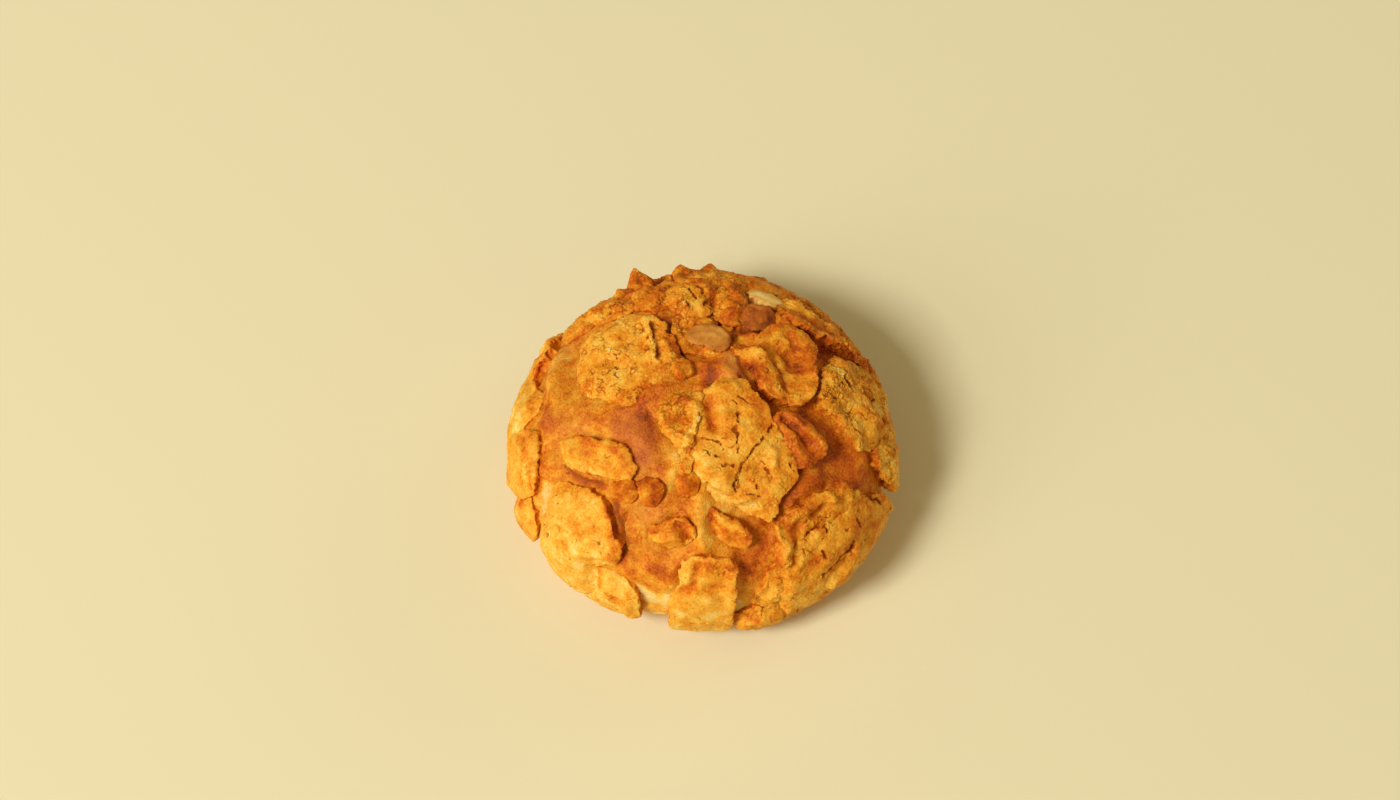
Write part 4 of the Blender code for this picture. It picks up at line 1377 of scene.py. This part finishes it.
# The colours along the browning, from pale to dark
BAKED = (
    (0.0, (0.90, 0.62, 0.21)),
    (0.1, (0.92, 0.53, 0.080)),
    (0.22, (0.88, 0.43, 0.044)),
    (0.4, (0.80, 0.306, 0.016)),
    (0.6, (0.66, 0.160, 0.005)),
    (0.8, (0.47, 0.078, 0.004)),
    (1.0, (0.21, 0.045, 0.004)),
)
ALMOND = ((0.2, (0.78, 0.36, 0.065)), (0.5, (0.60, 0.225, 0.030)), (0.8, (0.40, 0.115, 0.012)))
CUT_NUT = ((0.2, (0.96, 0.70, 0.26)), (0.5, (0.88, 0.48, 0.10)), (0.8, (0.62, 0.25, 0.03)))
DARK_NUT = ((0.2, (0.62, 0.18, 0.02)), (0.5, (0.45, 0.11, 0.010)), (0.8, (0.22, 0.04, 0.004)))
# browning and painted shade in crevices, in cracks and on the skin beside the crust
CREVICE_BROWN_AND_SHADE = (0.34, 0.075, 0.004)
ROSY = (0.60, 0.185, 0.045)

# speckle: how uneven the browning is. bump and pebble: height of the grain, in mm, and width of
# the pebbles. pebbled: how much the pebbles show, in the bump and as painted highlight on their
# tops and painted shade between them. gloss: the share that is reflected.
Finish = namedtuple("Finish", "stops speckle bump pebble pebbled gloss")
FINISHES = {
    "golden_crumb": Finish(BAKED, 0.6, 0.08, 0.6, 0.07, 0.14),
    "brown_crumb": Finish(BAKED, 0.6, 0.08, 0.6, 0.07, 0.14),
    "brown_skin": Finish(BAKED, 0.5, 0.10, 0.55, 0.20, 0.17),
    "almond_skin": Finish(ALMOND, 0.3, 0.05, 0.5, 0.02, 0.14),
    "cut_nut": Finish(CUT_NUT, 0.3, 0.05, 0.5, 0.02, 0.14),
    "toasted_nut": Finish(DARK_NUT, 0.3, 0.08, 0.5, 0.02, 0.14),
}


def baked_material(name, finish, oven, pebbled):
    """A baked surface: its colours from pale to dark along the browning, darker in crevices
    with browning and painted shade.
    """
    material = bpy.data.materials.new(name)
    material.use_nodes = True
    tree = material.node_tree
    shader = tree.nodes["Principled BSDF"]
    grain = tree.nodes.new("ShaderNodeGroup")
    grain.node_tree = oven
    tree.links.new(attribute(tree, "toast"), grain.inputs["Browning"])
    grain.inputs["Speckle"].default_value = finish.speckle
    pebbles = tree.nodes.new("ShaderNodeGroup")
    pebbles.node_tree = pebbled
    pebbles.inputs["Size"].default_value = finish.pebble
    pebble_height = pebbles.outputs["Height"]

    # pebble tops are made paler and their hollows browner: painted highlight and painted shade
    pebble_highlight_and_shade = maths(tree, "SUBTRACT", pebble_height, 0.6)
    browned = maths(tree, "MULTIPLY_ADD", pebble_highlight_and_shade, -finish.pebbled, grain.outputs["Browned"])
    ramp = colour_ramp(tree, finish.stops)
    tree.links.new(browned, ramp.inputs["Fac"])
    some = maths(tree, "MULTIPLY", attribute(tree, "rosy"), pebble_height)
    rosy = mixed(tree, some, ramp.outputs["Color"], ROSY)
    # crevices are mixed toward a darker brown: browning and painted shade
    dark = mixed(tree, attribute(tree, "crevice"), rosy, CREVICE_BROWN_AND_SHADE)
    tree.links.new(dark, shader.inputs["Base Color"])
    tree.links.new(grain.outputs["Sheen"], shader.inputs["Roughness"])
    shader.inputs["Specular IOR Level"].default_value = finish.gloss

    share = finish.pebbled / finish.bump
    raised = maths(tree, "MULTIPLY_ADD", pebble_height, share, grain.outputs["Height"])
    bumped = tree.nodes.new("ShaderNodeBump")
    bumped.inputs["Distance"].default_value = finish.bump * MM
    bumped.inputs["Strength"].default_value = 0.8
    tree.links.new(raised, bumped.inputs["Height"])
    tree.links.new(bumped.outputs["Normal"], shader.inputs["Normal"])
    shader.inputs["Subsurface Weight"].default_value = 0.25
    shader.inputs["Subsurface Radius"].default_value = (1.0, 0.4, 0.1)
    shader.inputs["Subsurface Scale"].default_value = 1.6 * MM
    return material


def baked_materials():
    """The material of every slot."""
    groups = oven_group(), pebble_group()
    return {slot: baked_material(slot + "_baked", finish, *groups) for slot, finish in FINISHES.items()}


# ---------------------------------------------------------------- the bun and its crust

materials = baked_materials()
slots = {part["node"]: part["material_slot"] for part in frame["record"]["subparts"]}


def finished(name, data, slot, *nodes):
    """Makes the piece that stands for those solids."""
    data.shade_smooth()
    data.materials.clear()
    data.materials.append(materials[slot])
    piece = bpy.data.objects.new(name, data)
    bpy.context.scene.collection.objects.link(piece)
    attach(piece, "root")
    if nodes:
        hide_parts(*nodes)


crust_tree = solid_crust()
for number, node in enumerate(sorted(frame["nodes"])):
    if node != "bun":
        data = crust(node, LOOKS.get(node, FAR), number * SEED_STEP)
        finished(node + "_baked", data, slots[node], node)
finished("bun_baked", bun_skin(crust_tree), "brown_skin", "bun")
finished("loose_crumbs", loose_crumbs(), "golden_crumb")


# ---------------------------------------------------------------- floor, light and camera

CAMERA_TILT = math.radians(61)
CAMERA_AWAY = 0.8991
AIM = Vector((WAIST[0] * MM + 0.0005, WAIST[1] * MM + 0.0105, 0.024))
LIT = (0, 0, 0.02)

Lamp = namedtuple("Lamp", "name size energy colour place")
LAMPS = (
    Lamp("key", 0.8, 65, (1, 1, 1), (-1.50, -1.18, 2.30)),
    Lamp("low", 1.3, 19, (1, 1, 1), (-2.30, -1.50, 1.50)),
    Lamp("fill", 1.2, 6, (1.0, 0.90, 0.78), (1.80, 1.10, 1.10)),
)


def placed(name, data, place, aim):
    made = bpy.data.objects.new(name, data)
    made.location = place
    made.rotation_mode = "QUATERNION"
    made.rotation_quaternion = (Vector(place) - Vector(aim)).to_track_quat("Z", "Y")
    bpy.context.scene.collection.objects.link(made)
    return made


def floor():
    shape = bmesh.new()
    bmesh.ops.create_grid(shape, x_segments=1, y_segments=1, size=2)
    data = mesh_from(shape, "floor")
    paper = bpy.data.materials.new("pale_paper")
    paper.use_nodes = True
    shader = paper.node_tree.nodes["Principled BSDF"]
    shader.inputs["Base Color"].default_value = (0.81, 0.725, 0.455, 1)
    shader.inputs["Roughness"].default_value = 0.9
    data.materials.append(paper)
    made = bpy.data.objects.new("floor", data)
    bpy.context.scene.collection.objects.link(made)


def room():
    """The soft light from all round."""
    world = bpy.data.worlds.new("room")
    world.use_nodes = True
    shader = world.node_tree.nodes["Background"]
    shader.inputs["Color"].default_value = (1, 0.87, 0.5, 1)
    shader.inputs["Strength"].default_value = 0.3
    return world


floor()

lens = bpy.data.cameras.new("camera")
lens.lens = 85
lens.sensor_width = 36
back = Vector((0, -math.cos(CAMERA_TILT), math.sin(CAMERA_TILT)))
bpy.context.scene.camera = placed("camera", lens, AIM + back * CAMERA_AWAY, AIM)

for lamp in LAMPS:
    light = bpy.data.lights.new(lamp.name, "AREA")
    light.size = lamp.size
    light.energy = lamp.energy
    light.color = lamp.colour
    placed(lamp.name, light, lamp.place, LIT)

bpy.context.scene.world = room()
bpy.context.scene.view_settings.view_transform = "Standard"
